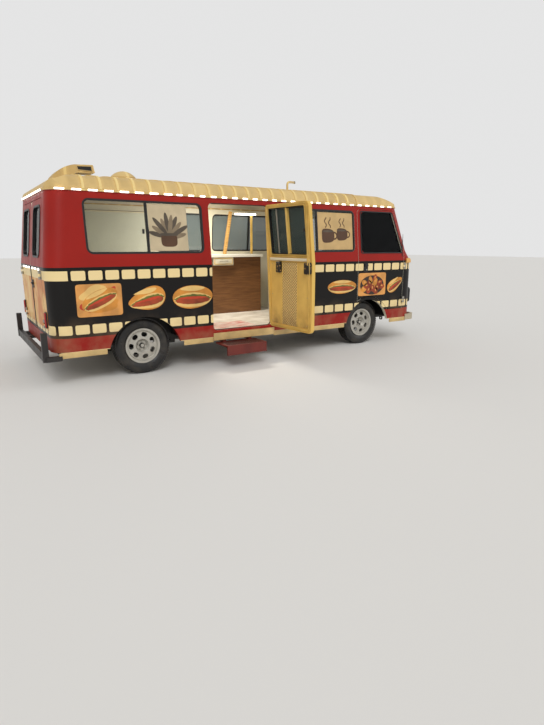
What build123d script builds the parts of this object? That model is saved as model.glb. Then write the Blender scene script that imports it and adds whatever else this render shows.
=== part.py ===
from build123d import *
import os

# A forward-control food van. Millimetres. X runs forward from the rear face of the body,
# Y to the vehicle's left from its centre plane, Z up from the ground.
# The object stands as it parks, with its side door open.

# Body shell
body_length = 5300
body_width = 1930
skirt_z = 360
belt_z = 1230
screen_base_z = 1380
gutter_z = 1990
side_lean = 80
rear_lean = 90
nose_lean = 10
bonnet_depth = 110
screen_rake = 210
corner_r = 180
wall = 45

# Roof
roof_rise = 220
roof_flange = 20
shoulder_width = 165
shoulder_rise = 140
rear_slope = 800
front_slope = 830
rear_edge_rise = 110
roof_wall = 25
corner_ease = 1.5
lip_out = 14
lip_height = 16
rib_first_x = 440
rib_pitch = 176
rib_front_margin = 840
rib_width = 26
rib_height = 9

# Wheels and their arches
rear_axle_x = 980
front_overhang = 950
wheel_track = 1490
tyre_r = 325
tyre_width = 195
rim_r = 190
rim_flange_r = 203
rim_width = 150
rim_wall = 9
hub_r = 62
spindle_r = 22
spindle_clearance = 0.06
hand_hole_count = 7
hand_hole_length = 70
hand_hole_width = 52
hand_hole_pitch_r = 130
arch_r = 425
arch_drop = 75
arch_lip = 40

# Doors
door_gap = 6
side_door_x = (1820, 2672)
side_door_z = (440, 1935)
side_door_open = 92
front_door_length = 930
front_door_setback = 240
door_sill_z = 505
door_head_z = 1950
front_door_slant = 205
rear_door_margin = 315
rear_door_head_z = 1930
door_corner_r = 60

# Hinges
hinge_offset = 14
knuckle_r = 13
hinge_pin_r = 7
pin_clearance = 0.06
hinge_height = 90
hinge_leaf = 44
leaf_thickness = 6
hinge_z = (640, 1150)

# Windows
glass_depth = 14
glass_thickness = 6
seal_width = 22
seal_depth = 30
window_z = (1362, 1922)
window_corner_r = 70
window_post = 24
pane_gap = 0.3
rear_window_x = (410, 1740)
mid_window_x = (1830, 2662)
front_window_posts = (73, 55)
rear_light_margins = (150, 80)
rear_light_z = (1340, 1850)
screen_margin_base = 120
screen_margin_top = 150
screen_z = (1425, 1925)
side_door_light_x = (1890, 2590)
side_door_light_z = (1350, 1880)
side_light_corner_r = 25
front_light_z = (1350, 1915)
front_light_post = 65
front_light_edge = 45

# Floor, frame and running gear
floor_top_z = 440
floor_thickness = 40
mat_x = (160, 3880)
mat_right_y = -575
mat_thickness = 3
mat_gap = 15
rail_y = 450
rail_width = 60
rail_height = 90
cross_x = (110, 1700, 2700)
cross_behind_axle = 700
cross_behind_nose = 240
cross_width = 60
cross_height = 60
housing_wall = 12
housing_top_z = 700
housing_length = 880
front_housing_depth = 295
rear_housing_depth = 155
housing_margin = 53
axle_drop = 110
axle_beam = 70
kingpin_inset = 65
kingpin_r = 12
arm_z = 95
arm_thickness = 24
arm_width = 50
spring_length = 1000
spring_width = 56
spring_thickness = 24
engine_size = (760, 480, 480)
engine_ahead = 70
cover_wall = 15
cover_gap = 20
tank_size = (620, 260, 190)
tank_x = 2200
pipe_r = 24
silencer_r = 75
silencer_length = 520
silencer_x = 2900
exhaust_y = -250
tail_x = 1620
tail_inset = 60
tail_bend_r = 95
tail_r = 28
tail_length = 120
tow_eye_r = 18
tow_eye_outer_r = 30
tow_eye_thickness = 20
tow_eye_drop = 25
tow_eye_setback = 95
bracket_height = 34
notch_length = 150
notch_height = 50

# Fittings
bumper_bar_height = 90
bumper_bar_depth = 45
bumper_gap = 55
front_bumper_z = 318
rear_bumper_z = 285
bumper_wrap = 12
bumper_corner_r = 150
bumper_reach = 300
bumper_end = 215
guard_height = 300
guard_width = 55
guard_return = 50
step_x = (1875, 2420)
step_out = 250
step_z = 290
step_thickness = 22
step_lip = 120
step_in = 60
headlamp_inset = 275
headlamp_z = 690
headlamp_size = (330, 230)
headlamp_depth = 55
headlamp_r = 88
lamp_seat = 6
lens_rise = 22
grille_bar_count = 7
grille_bar = 9
grille_frame = 16
grille_depth = 22
indicator_z = (1196, 1262)
indicator_length = 200
indicator_width = 95
indicator_depth = 22
tail_lamp_inset = 219
tail_lamp_z = 690
tail_lamp_size = (58, 150, 22)
trim_margin = 60
trim_top_z = 1255
trim_thickness = 6
latch_z = 1195
latch_height = 132
latch_depth = 44
handle_places = ((235, 80), (790, 95))
light_runs = ((207, 161.5, 8, 92), (1472, 141, 14, 62))
front_lights = (3440, 146, 62)
front_light_margin = 220
light_height = 16
light_depth = 8
rear_light_count = 14
rear_light_pitch = 96
rear_light_length = 66
cowl_x = 300
cowl_length = 450
cowl_width = 240
cowl_top_z = 2352
cowl_mouth = 84
cowl_wall = 10
cowl_mouth_depth = 130
vent_x = 1130
vent_r = 150
vent_neck_r = 105
vent_height = 88
vent_rim = 16
vent_gap = 26
flue_x = 3420
flue_y = -200
flue_r = 15
flue_reach = 125
flue_top_z = 2330
roof_base_z = 2120
counter_top_z = 1320
counter_thickness = 38
counter_rear_x = 180
counter_behind_door = 780
counter_depth = 615
counter_wall_gap = 1
panel_set_back = 70
panel_thickness = 20
drawer_size = (560, 105)
drawer_wall = 12
drawer_x = 2030
seat_behind_axle = 160
seat_inset = 310
seat_z = 760
seat_length = 460
seat_width = 440
seat_back = 560
dash_setback = 310
dash_z = (1010, 1330)
dash_margin = 125
steering_reach = 200
steering_z = 1150
steering_rake = 30
steering_r = 205
steering_rim = 22
steering_spoke = 30
steering_hub_r = 48
steering_column_r = 24
steering_column = 900

# Values that follow from the ones above
half_width = body_width / 2
front_axle_x = body_length - front_overhang
kingpin_y = wheel_track / 2 - kingpin_inset
arch_z = tyre_r - arch_drop
lean_height = gutter_z - belt_z
rail_top_z = floor_top_z - floor_thickness
rail_bottom_z = rail_top_z - rail_height
exhaust_z = rail_top_z - cross_height - silencer_r
tail_y = half_width - tail_inset
engine_z = tyre_r - arm_z
engine_x = front_axle_x + engine_ahead
engine_back_x = engine_x - engine_size[0] / 2
rail_x = (wall, body_length - wall - nose_lean)
front_door_x = (
    body_length - front_door_setback - front_door_length,
    body_length - front_door_setback,
)
front_window_x = (
    side_door_x[1] + front_window_posts[0],
    front_door_x[0] - front_window_posts[1],
)
rear_door_half = half_width - rear_door_margin
rear_light_y = (rear_light_margins[0], rear_door_half - rear_light_margins[1])
housing_outer = half_width - housing_margin
headlamp_y = half_width - headlamp_inset
tail_lamp_y = half_width - tail_lamp_inset
counter_x = (counter_rear_x, front_door_x[0] - counter_behind_door)
counter_front_y = half_width - counter_depth
panel_y = counter_front_y + panel_set_back
seat_x = front_axle_x - seat_behind_axle
seat_y = half_width - seat_inset
dash_x = body_length - dash_setback
steering_x = dash_x - steering_reach
vent_base_z = gutter_z + roof_rise + vent_gap


def share(z):
    """How far up the leaning part of the body a height lies, from 0 to 1."""
    return (z - belt_z) / lean_height


# Body sections: height, half width, rear face, front face
BODY_SECTIONS = (
    (skirt_z, half_width, 0, body_length),
    (belt_z, half_width, 0, body_length - nose_lean),
    (
        screen_base_z,
        half_width - side_lean * share(screen_base_z),
        rear_lean * share(screen_base_z),
        body_length - bonnet_depth,
    ),
    (gutter_z, half_width - side_lean, rear_lean, body_length - bonnet_depth - screen_rake),
)
roof_half = half_width - side_lean
roof_rear_x = rear_lean
roof_front_x = body_length - bonnet_depth - screen_rake


def flat_faced(form):
    """The same closed form with its straight-edged faces made true planes."""
    faces = []
    for face in form.faces():
        if face.edges().filter_by(GeomType.CIRCLE):
            faces.append(face)
        else:
            faces.append(Face(face.outer_wire()))
    return Solid(Shell(faces))


def body_form(inset):
    """The closed form of the body up to the gutter, its faces moved in by inset."""
    with BuildPart() as form:
        for z, half, rear, front in BODY_SECTIONS:
            with BuildSketch(Plane.XY.offset(z)):
                with Locations(((rear + front) / 2, 0)):
                    RectangleRounded(
                        front - rear - 2 * inset, 2 * (half - inset), corner_r - inset
                    )
        loft(ruled=True)
    return flat_faced(form.part)


def roof_form(inset):
    """The closed form of the roof above the gutter, its faces moved in by inset."""
    half = roof_half - inset
    top = gutter_z + roof_rise - inset
    shoulder = gutter_z + roof_flange + shoulder_rise - inset
    flange = gutter_z + roof_flange
    with BuildPart() as form:
        with BuildSketch(Plane.YZ):
            with BuildLine():
                Line((-half, gutter_z), (-half, flange))
                shoulder_arc = ThreePointArc(
                    (-half, flange),
                    (-half + 0.28 * shoulder_width, flange + 0.68 * (shoulder - flange)),
                    (-half + shoulder_width, shoulder),
                )
                ThreePointArc(shoulder_arc @ 1, (0, top), (half - shoulder_width, shoulder))
                ThreePointArc(
                    (half - shoulder_width, shoulder),
                    (half - 0.28 * shoulder_width, flange + 0.68 * (shoulder - flange)),
                    (half, flange),
                )
                Line((half, flange), (half, gutter_z))
                Line((half, gutter_z), (-half, gutter_z))
            make_face()
        extrude(amount=body_length)
        with BuildSketch(Plane.XZ):
            with BuildLine():
                rear = roof_rear_x + inset
                front = roof_front_x - inset
                edge = gutter_z + rear_edge_rise - inset
                Line((front, gutter_z), (rear, gutter_z))
                Line((rear, gutter_z), (rear, flange))
                ThreePointArc((rear, flange), (rear + 30, edge - 25), (rear + 100, edge))
                ThreePointArc(
                    (rear + 100, edge),
                    (rear + 0.45 * rear_slope, edge + 0.76 * (top - edge)),
                    (rear + rear_slope, top),
                )
                Line((rear + rear_slope, top), (front - front_slope, top))
                ThreePointArc(
                    (front - front_slope, top),
                    (front - 0.47 * front_slope, top - 0.26 * (top - gutter_z)),
                    (front, gutter_z),
                )
            make_face()
        extrude(amount=body_width, both=True, mode=Mode.INTERSECT)
        with BuildSketch(Plane.XY.offset(gutter_z)):
            with Locations(((roof_rear_x + roof_front_x) / 2, 0)):
                RectangleRounded(
                    roof_front_x - roof_rear_x - 2 * (inset - corner_ease),
                    2 * (half + corner_ease),
                    corner_r - inset,
                )
        extrude(amount=2 * roof_rise, mode=Mode.INTERSECT)
    return form.part


def dome_radius(radius, rise):
    """The radius of the sphere whose cap has the given radius and rise."""
    return (radius**2 + rise**2) / (2 * rise)


def rounded(plane, across, z_span, radius, margin=0):
    """A rounded rectangle on a plane, given by its edges and moved in by margin."""
    with BuildSketch(plane) as outline:
        with Locations((sum(across) / 2, sum(z_span) / 2)):
            RectangleRounded(
                across[1] - across[0] - 2 * margin,
                z_span[1] - z_span[0] - 2 * margin,
                radius - margin,
            )
    return outline.sketch


def front_door_outline(margin=0):
    """The front door's opening seen from the side, slanted at the screen and cut round the arch."""
    with BuildSketch(Plane.XZ) as outline:
        with BuildLine():
            Polyline(
                (front_door_x[0], door_sill_z),
                (front_door_x[1], door_sill_z),
                (front_door_x[1], screen_base_z),
                (front_door_x[1] - front_door_slant, door_head_z),
                (front_door_x[0], door_head_z),
                close=True,
            )
        make_face()
        fillet(outline.vertices().group_by(Axis.Y)[-1], door_corner_r)
        if margin:
            offset(amount=-margin, mode=Mode.REPLACE)
        with Locations((front_axle_x, arch_z)):
            Circle(arch_r + arch_lip + margin, mode=Mode.SUBTRACT)
    return outline.sketch


def front_light_outline():
    """The front door's window seen from the side."""
    with BuildSketch(Plane.XZ) as outline:
        with BuildLine():
            Polyline(
                (front_door_x[0] + front_light_post, front_light_z[0]),
                (front_door_x[1] - front_light_edge, front_light_z[0]),
                (front_door_x[1] - front_light_edge, screen_base_z),
                (front_door_x[1] - front_door_slant - front_light_edge, front_light_z[1]),
                (front_door_x[0] + front_light_post, front_light_z[1]),
                close=True,
            )
        make_face()
        fillet(outline.vertices().sort_by(Axis.X)[:2], window_corner_r)
    return outline.sketch


outer_form = body_form(0)
inner_form = body_form(wall)
glass_outer = body_form(glass_depth)
glass_inner = body_form(glass_depth + glass_thickness)
seal_outer = body_form(glass_depth - (seal_depth - glass_thickness) / 2)
seal_inner = body_form(glass_depth + (seal_depth + glass_thickness) / 2)

with BuildPart() as shell:
    add(outer_form)
    add(inner_form, mode=Mode.SUBTRACT)
    with BuildSketch(Plane.XZ):
        with Locations((rear_axle_x, arch_z), (front_axle_x, arch_z)):
            Circle(arch_r)
    extrude(amount=body_width, both=True, mode=Mode.SUBTRACT)

with BuildPart() as glass_layer:
    add(glass_outer)
    add(glass_inner, mode=Mode.SUBTRACT)

with BuildPart() as seal_layer:
    add(seal_outer)
    add(seal_inner, mode=Mode.SUBTRACT)

# Side walls: what the front frame and the rear frame leave of the shell
RIGHT = 1
LEFT = -1
RIGHT_WINDOWS = (rear_window_x, front_window_x)
LEFT_WINDOWS = (rear_window_x, mid_window_x, front_window_x)
frame_depth = 400
corner_y = half_width - corner_r


def front_region():
    """The part of the side view ahead of the front doors."""
    edge = front_door_x[1]
    slope = front_door_slant / (door_head_z - screen_base_z)
    with BuildSketch(Plane.XZ) as region:
        with BuildLine():
            Polyline(
                (edge, skirt_z - 1),
                (edge, screen_base_z),
                (edge - slope * (gutter_z + 1 - screen_base_z), gutter_z + 1),
                (body_length + 1, gutter_z + 1),
                (body_length + 1, skirt_z - 1),
                close=True,
            )
        make_face()
    return region.sketch


def side_wall(side, windows):
    """One side of the body, round its rear corner, with its windows and front door cut."""
    with BuildPart() as panel:
        add(shell.part)
        extrude(front_region(), amount=body_width, both=True, mode=Mode.SUBTRACT)
        with BuildSketch(Plane.XY.offset(skirt_z - 1)):
            with Locations((body_length / 2, -side * (corner_y + half_width) / 2)):
                Rectangle(body_length + 2, half_width - corner_y)
        extrude(amount=gutter_z, mode=Mode.INTERSECT)
        for span in windows:
            hole = rounded(Plane.XZ, span, window_z, window_corner_r)
            extrude(hole, amount=side * body_width, mode=Mode.SUBTRACT)
        extrude(front_door_outline(), amount=side * body_width, mode=Mode.SUBTRACT)
        if side == RIGHT:
            doorway = rounded(Plane.XZ, side_door_x, side_door_z, door_corner_r)
            extrude(doorway, amount=side * body_width, mode=Mode.SUBTRACT)
    return panel.part


def window_lights(span, gap):
    """The two halves of a window inside its frame, less a gap all round."""
    with BuildSketch() as lights:
        add(rounded(Plane.XY, span, window_z, window_corner_r, seal_width + gap))
        with Locations((sum(span) / 2, sum(window_z) / 2)):
            Rectangle(window_post + 2 * gap, window_z[1] - window_z[0], mode=Mode.SUBTRACT)
    return lights.sketch


def side_glass(side, windows):
    """The panes of one side, split at a sliding window's post."""
    with BuildPart() as panes:
        add(glass_layer.part)
        with BuildSketch(Plane.XZ):
            for span in windows:
                add(window_lights(span, pane_gap))
        extrude(amount=side * body_width, mode=Mode.INTERSECT)
    return panes.part


def side_seals(side, windows):
    """The frames that hold the panes of one side, each with its middle post."""
    with BuildPart() as frames:
        add(seal_layer.part)
        with BuildSketch(Plane.XZ):
            for span in windows:
                add(rounded(Plane.XY, span, window_z, window_corner_r))
                add(window_lights(span, 0), mode=Mode.SUBTRACT)
        extrude(amount=side * body_width, mode=Mode.INTERSECT)
    return frames.part


with BuildPart() as side_panel_right:
    add(side_wall(RIGHT, RIGHT_WINDOWS))

with BuildPart() as side_panel_left:
    add(side_wall(LEFT, LEFT_WINDOWS))

with BuildPart() as rear_frame:
    add(shell.part)
    with BuildSketch(Plane.XY.offset(skirt_z - 1)):
        with Locations((frame_depth / 2, 0)):
            Rectangle(frame_depth, 2 * corner_y)
    extrude(amount=gutter_z, mode=Mode.INTERSECT)
    rear_doorway = rounded(
        Plane.YZ, (-rear_door_half, rear_door_half), (door_sill_z, rear_door_head_z), door_corner_r
    )
    extrude(rear_doorway, amount=frame_depth, mode=Mode.SUBTRACT)


def screen_outline(margin):
    """The windscreen seen from the front, on a plane inside the cab."""
    base = half_width - screen_margin_base - margin
    top = half_width - side_lean - screen_margin_top - margin
    with BuildSketch(Plane.YZ.offset(body_length / 2)) as outline:
        with BuildLine():
            Polyline(
                (-base, screen_z[0] + margin),
                (base, screen_z[0] + margin),
                (top, screen_z[1] - margin),
                (-top, screen_z[1] - margin),
                close=True,
            )
        make_face()
        fillet(outline.vertices(), window_corner_r - margin)
    return outline.sketch


with BuildPart() as front_frame:
    add(shell.part)
    extrude(front_region(), amount=body_width, both=True, mode=Mode.INTERSECT)
    extrude(screen_outline(0), amount=body_length, mode=Mode.SUBTRACT)

with BuildPart() as windscreen:
    add(glass_layer.part)
    extrude(screen_outline(0), amount=body_length, mode=Mode.INTERSECT)

with BuildPart() as side_glass_right:
    add(side_glass(RIGHT, RIGHT_WINDOWS))

with BuildPart() as side_glass_left:
    add(side_glass(LEFT, LEFT_WINDOWS))

with BuildPart() as window_frames:
    add(side_seals(RIGHT, RIGHT_WINDOWS))
    add(side_seals(LEFT, LEFT_WINDOWS))

# Roof: a shell with raised ribs and a gutter lip
rib_form = roof_form(-rib_height)
roof_outer = roof_form(0)
roof_inner = roof_form(roof_wall)
rib_core = roof_form(roof_wall / 2)
rib_count = 1 + int((roof_front_x - rib_front_margin - rib_first_x) / rib_pitch)

with BuildPart() as rib_set:
    add(rib_form)
    with BuildSketch(Plane.XY.offset(gutter_z + roof_flange)):
        for index in range(rib_count):
            with Locations((rib_first_x + rib_pitch * index, 0)):
                Rectangle(rib_width, body_width)
    extrude(amount=2 * roof_rise, mode=Mode.INTERSECT)
    add(rib_core, mode=Mode.SUBTRACT)

with BuildPart() as roof:
    add(roof_outer)
    add(rib_set.part)
    with BuildSketch(Plane.XY.offset(gutter_z)):
        with Locations(((roof_rear_x + roof_front_x) / 2, 0)):
            RectangleRounded(
                roof_front_x - roof_rear_x + 2 * lip_out,
                2 * (roof_half + lip_out),
                corner_r + lip_out,
            )
    extrude(amount=lip_height)
    add(roof_inner, mode=Mode.SUBTRACT)

# Floor pan, cut round the wheel housings and the engine, with a mat along the aisle
HOUSINGS = (
    (rear_axle_x, wheel_track / 2 - rear_housing_depth),
    (front_axle_x, wheel_track / 2 - front_housing_depth),
)

with BuildPart() as floor:
    add(inner_form)
    with BuildSketch(Plane.XY.offset(floor_top_z - floor_thickness)):
        with Locations((body_length / 2, 0)):
            Rectangle(body_length, body_width)
        for x, inner in HOUSINGS:
            with Locations((x, half_width), (x, -half_width)):
                Rectangle(housing_length, 2 * (half_width - inner), mode=Mode.SUBTRACT)
        with Locations((engine_x, 0)):
            Rectangle(
                engine_size[0] + 2 * cover_gap,
                engine_size[1] + 2 * cover_gap,
                mode=Mode.SUBTRACT,
            )
    extrude(amount=floor_thickness, mode=Mode.INTERSECT)
    with BuildSketch(Plane.XY.offset(floor_top_z)):
        mat_left_y = panel_y - mat_gap
        with Locations((sum(mat_x) / 2, (mat_right_y + mat_left_y) / 2)):
            RectangleRounded(mat_x[1] - mat_x[0], mat_left_y - mat_right_y, 20)
    extrude(amount=mat_thickness)

with BuildPart() as wheel_housings:
    for x, inner in HOUSINGS:
        for side in (1, -1):
            with BuildSketch(Plane.XY.offset(rail_top_z)):
                with Locations((x, side * (inner + housing_outer) / 2)):
                    Rectangle(housing_length, housing_outer - inner)
            extrude(amount=housing_top_z - rail_top_z)
            with BuildSketch(Plane.XY.offset(rail_top_z)):
                with Locations((x, side * (inner + housing_wall + half_width) / 2)):
                    Rectangle(
                        housing_length - 2 * housing_wall, half_width - inner - housing_wall
                    )
            extrude(amount=housing_top_z - rail_top_z - housing_wall, mode=Mode.SUBTRACT)

with BuildPart() as engine:
    with BuildSketch(Plane.XY.offset(engine_z)):
        with Locations((engine_x, 0)):
            Rectangle(engine_size[0], engine_size[1])
    extrude(amount=engine_size[2])
    chamfer(engine.edges().filter_by(Axis.X).group_by(Axis.Z)[-1], 60)

with BuildPart() as engine_cover:
    cover_length = engine_size[0] + 2 * (cover_gap + cover_wall)
    cover_width = engine_size[1] + 2 * (cover_gap + cover_wall)
    cover_height = engine_z + engine_size[2] + cover_gap + cover_wall - floor_top_z
    with BuildSketch(Plane.XY.offset(floor_top_z)):
        with Locations((engine_x, 0)):
            Rectangle(cover_length, cover_width)
    extrude(amount=cover_height)
    fillet(engine_cover.edges().group_by(Axis.Z)[-1], 12)
    with BuildSketch(Plane.XY.offset(floor_top_z)):
        with Locations((engine_x, 0)):
            Rectangle(cover_length - 2 * cover_wall, cover_width - 2 * cover_wall)
    extrude(amount=cover_height - cover_wall, mode=Mode.SUBTRACT)

# Frame under the floor: two rails, cross members, spring hangers, bumper brackets, towing eyes
spring_hanger_height = 26
bracket_z = skirt_z - bracket_height - 4
bumper_back_x = (-bumper_gap, body_length + bumper_gap)
with BuildPart() as chassis_frame:
    with BuildSketch(Plane.XY.offset(rail_bottom_z)):
        with Locations((sum(rail_x) / 2, rail_y), (sum(rail_x) / 2, -rail_y)):
            Rectangle(rail_x[1] - rail_x[0], rail_width)
    extrude(amount=rail_height)
    with BuildSketch(Plane.XY.offset(rail_bottom_z)):
        with Locations((front_axle_x, rail_y), (front_axle_x, -rail_y)):
            Rectangle(notch_length, rail_width)
    extrude(amount=notch_height, mode=Mode.SUBTRACT)
    with BuildSketch(Plane.XY.offset(rail_top_z - cross_height)):
        for x in (*cross_x, front_axle_x - cross_behind_axle, body_length - cross_behind_nose):
            with Locations((x, 0)):
                Rectangle(cross_width, 2 * rail_y)
    extrude(amount=cross_height)
    with BuildSketch(Plane.XY.offset(rail_bottom_z - spring_hanger_height)):
        for x in (rear_axle_x - spring_length / 2, rear_axle_x + spring_length / 2):
            with Locations((x, rail_y), (x, -rail_y)):
                Rectangle(60, rail_width)
    extrude(amount=spring_hanger_height)
    with BuildSketch(Plane.XY.offset(bracket_z)):
        for first, last in zip(rail_x, bumper_back_x):
            with Locations(((first + last) / 2, rail_y), ((first + last) / 2, -rail_y)):
                Rectangle(abs(last - first), rail_width)
    extrude(amount=bracket_height)
    for x in (rail_x[0] + tow_eye_setback, rail_x[1] - tow_eye_setback):
        with BuildSketch(Plane.XZ.offset(rail_y - tow_eye_thickness / 2)):
            with Locations((x, rail_bottom_z - tow_eye_drop)):
                Circle(tow_eye_outer_r)
                Circle(tow_eye_r, mode=Mode.SUBTRACT)
        extrude(amount=tow_eye_thickness)

# Rear axle: a dropped beam that carries the wheels' spindles
spindle_y = (wheel_track / 2 - 100, wheel_track / 2 + 30)
beam_z = tyre_r - axle_drop
beam_end_y = spindle_y[0] - 20
with BuildPart() as rear_axle:
    with BuildSketch(Plane.YZ.offset(rear_axle_x - axle_beam / 2)):
        with BuildLine():
            Polyline(
                (-beam_end_y, tyre_r + axle_beam / 2),
                (-beam_end_y, beam_z),
                (-beam_end_y + 60, beam_z - axle_beam / 2),
                (beam_end_y - 60, beam_z - axle_beam / 2),
                (beam_end_y, beam_z),
                (beam_end_y, tyre_r + axle_beam / 2),
                (beam_end_y - axle_beam, tyre_r + axle_beam / 2),
                (beam_end_y - axle_beam, beam_z + axle_beam / 2),
                (-beam_end_y + axle_beam, beam_z + axle_beam / 2),
                (-beam_end_y + axle_beam, tyre_r + axle_beam / 2),
                close=True,
            )
        make_face()
    extrude(amount=axle_beam)
    for side in (1, -1):
        with BuildSketch(Plane.XZ.offset(side * beam_end_y)):
            with Locations((rear_axle_x, tyre_r)):
                Circle(spindle_r)
        extrude(amount=side * (spindle_y[1] - beam_end_y))

with BuildPart() as rear_springs:
    for side in (1, -1):
        with BuildSketch(Plane.XZ.offset(side * rail_y - spring_width / 2)):
            with BuildLine():
                low = beam_z + axle_beam / 2
                high = rail_bottom_z - spring_hanger_height
                half = spring_length / 2 + 30
                ThreePointArc(
                    (rear_axle_x - half, high - spring_thickness),
                    (rear_axle_x, low),
                    (rear_axle_x + half, high - spring_thickness),
                )
                Line(
                    (rear_axle_x + half, high - spring_thickness), (rear_axle_x + half, high)
                )
                ThreePointArc(
                    (rear_axle_x + half, high),
                    (rear_axle_x, low + spring_thickness),
                    (rear_axle_x - half, high),
                )
                Line(
                    (rear_axle_x - half, high), (rear_axle_x - half, high - spring_thickness)
                )
            make_face()
        extrude(amount=spring_width)

# Front suspension: a cross beam, a drilled upright on each rail, and two arms to each kingpin
upright_y = (rail_y + rail_width / 2, rail_y + rail_width / 2 + 30)
upright_length = 120
shaft_hole_r = 42
with BuildPart() as front_suspension:
    low_arm_z = tyre_r - arm_z - arm_thickness
    with BuildSketch(Plane.XY.offset(low_arm_z)):
        with Locations((front_axle_x, 0)):
            Rectangle(arm_width, 2 * kingpin_y)
    extrude(amount=arm_thickness)
    for side in (1, -1):
        with BuildSketch(Plane.XY.offset(tyre_r + arm_z)):
            with Locations((front_axle_x, side * (upright_y[0] + kingpin_y) / 2)):
                Rectangle(arm_width, kingpin_y - upright_y[0])
        extrude(amount=arm_thickness)
        with BuildSketch(Plane.XY.offset(low_arm_z)):
            with Locations((front_axle_x, side * sum(upright_y) / 2)):
                Rectangle(upright_length, upright_y[1] - upright_y[0])
        extrude(amount=2 * (arm_z + arm_thickness))
        with BuildSketch(Plane.XZ.offset(-side * upright_y[0])):
            with Locations((front_axle_x, tyre_r)):
                Circle(shaft_hole_r)
        extrude(amount=-side * (upright_y[1] - upright_y[0]), mode=Mode.SUBTRACT)
        for low in (low_arm_z, tyre_r + arm_z):
            with BuildSketch(Plane.XY.offset(low)):
                with Locations((front_axle_x, side * kingpin_y)):
                    Circle(arm_width / 2)
            extrude(amount=arm_thickness)
        with BuildSketch(Plane.XY.offset(tyre_r - arm_z)):
            with Locations((front_axle_x, side * kingpin_y)):
                Circle(kingpin_r)
        extrude(amount=2 * arm_z)


def knuckle(side):
    """A steering knuckle: a post on the kingpin and the wheel's spindle."""
    with BuildPart() as piece:
        with BuildSketch(Plane.XY.offset(tyre_r - arm_z + 2)):
            with Locations((front_axle_x, side * kingpin_y)):
                Circle(kingpin_r + 16)
        extrude(amount=2 * arm_z - 4)
        with BuildSketch(Plane.XZ.offset(-side * (kingpin_y + kingpin_r + 2))):
            with Locations((front_axle_x, tyre_r)):
                Circle(spindle_r)
        extrude(amount=-side * (spindle_y[1] - kingpin_y - kingpin_r - 2))
        with BuildSketch(Plane.XY.offset(tyre_r - arm_z + 2)):
            with Locations((front_axle_x, side * kingpin_y)):
                Circle(kingpin_r + spindle_clearance)
        extrude(amount=2 * arm_z - 4, mode=Mode.SUBTRACT)
    return piece.part


shaft_r = 14
boot_r = 34
boot_length = 70
with BuildPart() as drive_shafts:
    for side in (1, -1):
        with BuildSketch(Plane.XZ.offset(side * engine_size[1] / 2)):
            with Locations((front_axle_x, tyre_r)):
                Circle(shaft_r)
        extrude(amount=side * (kingpin_y - 40 - engine_size[1] / 2))
        for start in (engine_size[1] / 2, kingpin_y - 40 - boot_length):
            with BuildSketch(Plane.XZ.offset(side * start)):
                with Locations((front_axle_x, tyre_r)):
                    Circle(boot_r)
            extrude(amount=side * boot_length)


def wheel(x, side):
    """A pressed steel wheel on its own axle line, its open side facing inboard."""
    with BuildPart() as piece:
        with BuildSketch(Plane.XY) as section:
            with BuildLine():
                half = rim_width / 2
                Polyline(
                    (rim_r, -half),
                    (rim_flange_r, -half),
                    (rim_flange_r, -half - rim_wall),
                    (rim_r - rim_wall, -half - rim_wall),
                    (rim_r - 2 * rim_wall, -half + 30),
                    (rim_r - 2 * rim_wall, half - 40),
                    (hub_r + 24, half - 22),
                    (hub_r, half - 58),
                    (spindle_r + spindle_clearance, half - 58),
                    (spindle_r + spindle_clearance, half - 58 + rim_wall * 2),
                    (hub_r - 6, half - 58 + rim_wall * 2),
                    (hub_r + 18, half - 8),
                    (rim_r - 2 * rim_wall - 6, half - 20),
                    (rim_r - rim_wall, half + rim_wall),
                    (rim_flange_r, half + rim_wall),
                    (rim_flange_r, half),
                    (rim_r, half),
                    close=True,
                )
            make_face()
        revolve(axis=Axis.Y)
        with BuildSketch(Plane.XZ.offset(-half)):
            with PolarLocations(hand_hole_pitch_r, hand_hole_count):
                SlotOverall(hand_hole_length, hand_hole_width, rotation=90)
        extrude(amount=rim_width, both=True, mode=Mode.SUBTRACT)
    turn = 0 if side > 0 else 180
    place = Location((x, side * wheel_track / 2, tyre_r), (0, 0, turn))
    return piece.part.moved(place)


def tyre(x, side):
    """A plain tyre on the wheel's bead seats."""
    half = tyre_width / 2
    seat = rim_width / 2
    bulge_r = (rim_flange_r + tyre_r) / 2 - 8
    with BuildPart() as piece:
        with BuildSketch(Plane.XY):
            with BuildLine():
                Line((rim_r, -seat), (rim_flange_r, -seat))
                ThreePointArc(
                    (rim_flange_r, -seat),
                    (bulge_r, -half),
                    (tyre_r - 22, -half + 14),
                )
                Line((tyre_r - 22, -half + 14), (tyre_r, -half + 34))
                Line((tyre_r, -half + 34), (tyre_r, half - 34))
                Line((tyre_r, half - 34), (tyre_r - 22, half - 14))
                ThreePointArc(
                    (tyre_r - 22, half - 14),
                    (bulge_r, half),
                    (rim_flange_r, seat),
                )
                Line((rim_flange_r, seat), (rim_r, seat))
                Line((rim_r, seat), (rim_r, -seat))
            make_face()
        revolve(axis=Axis.Y)
    return piece.part.moved(Location((x, side * wheel_track / 2, tyre_r)))


# Fuel tank and exhaust below the floor
with BuildPart() as fuel_tank:
    with BuildSketch(Plane.XY.offset(rail_top_z - tank_size[2])):
        with Locations((tank_x, rail_y + rail_width / 2 + tank_size[1] / 2)):
            RectangleRounded(tank_size[0], tank_size[1], 40)
    extrude(amount=tank_size[2])
    fillet(fuel_tank.edges().group_by(Axis.Z)[0], 25)

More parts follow.
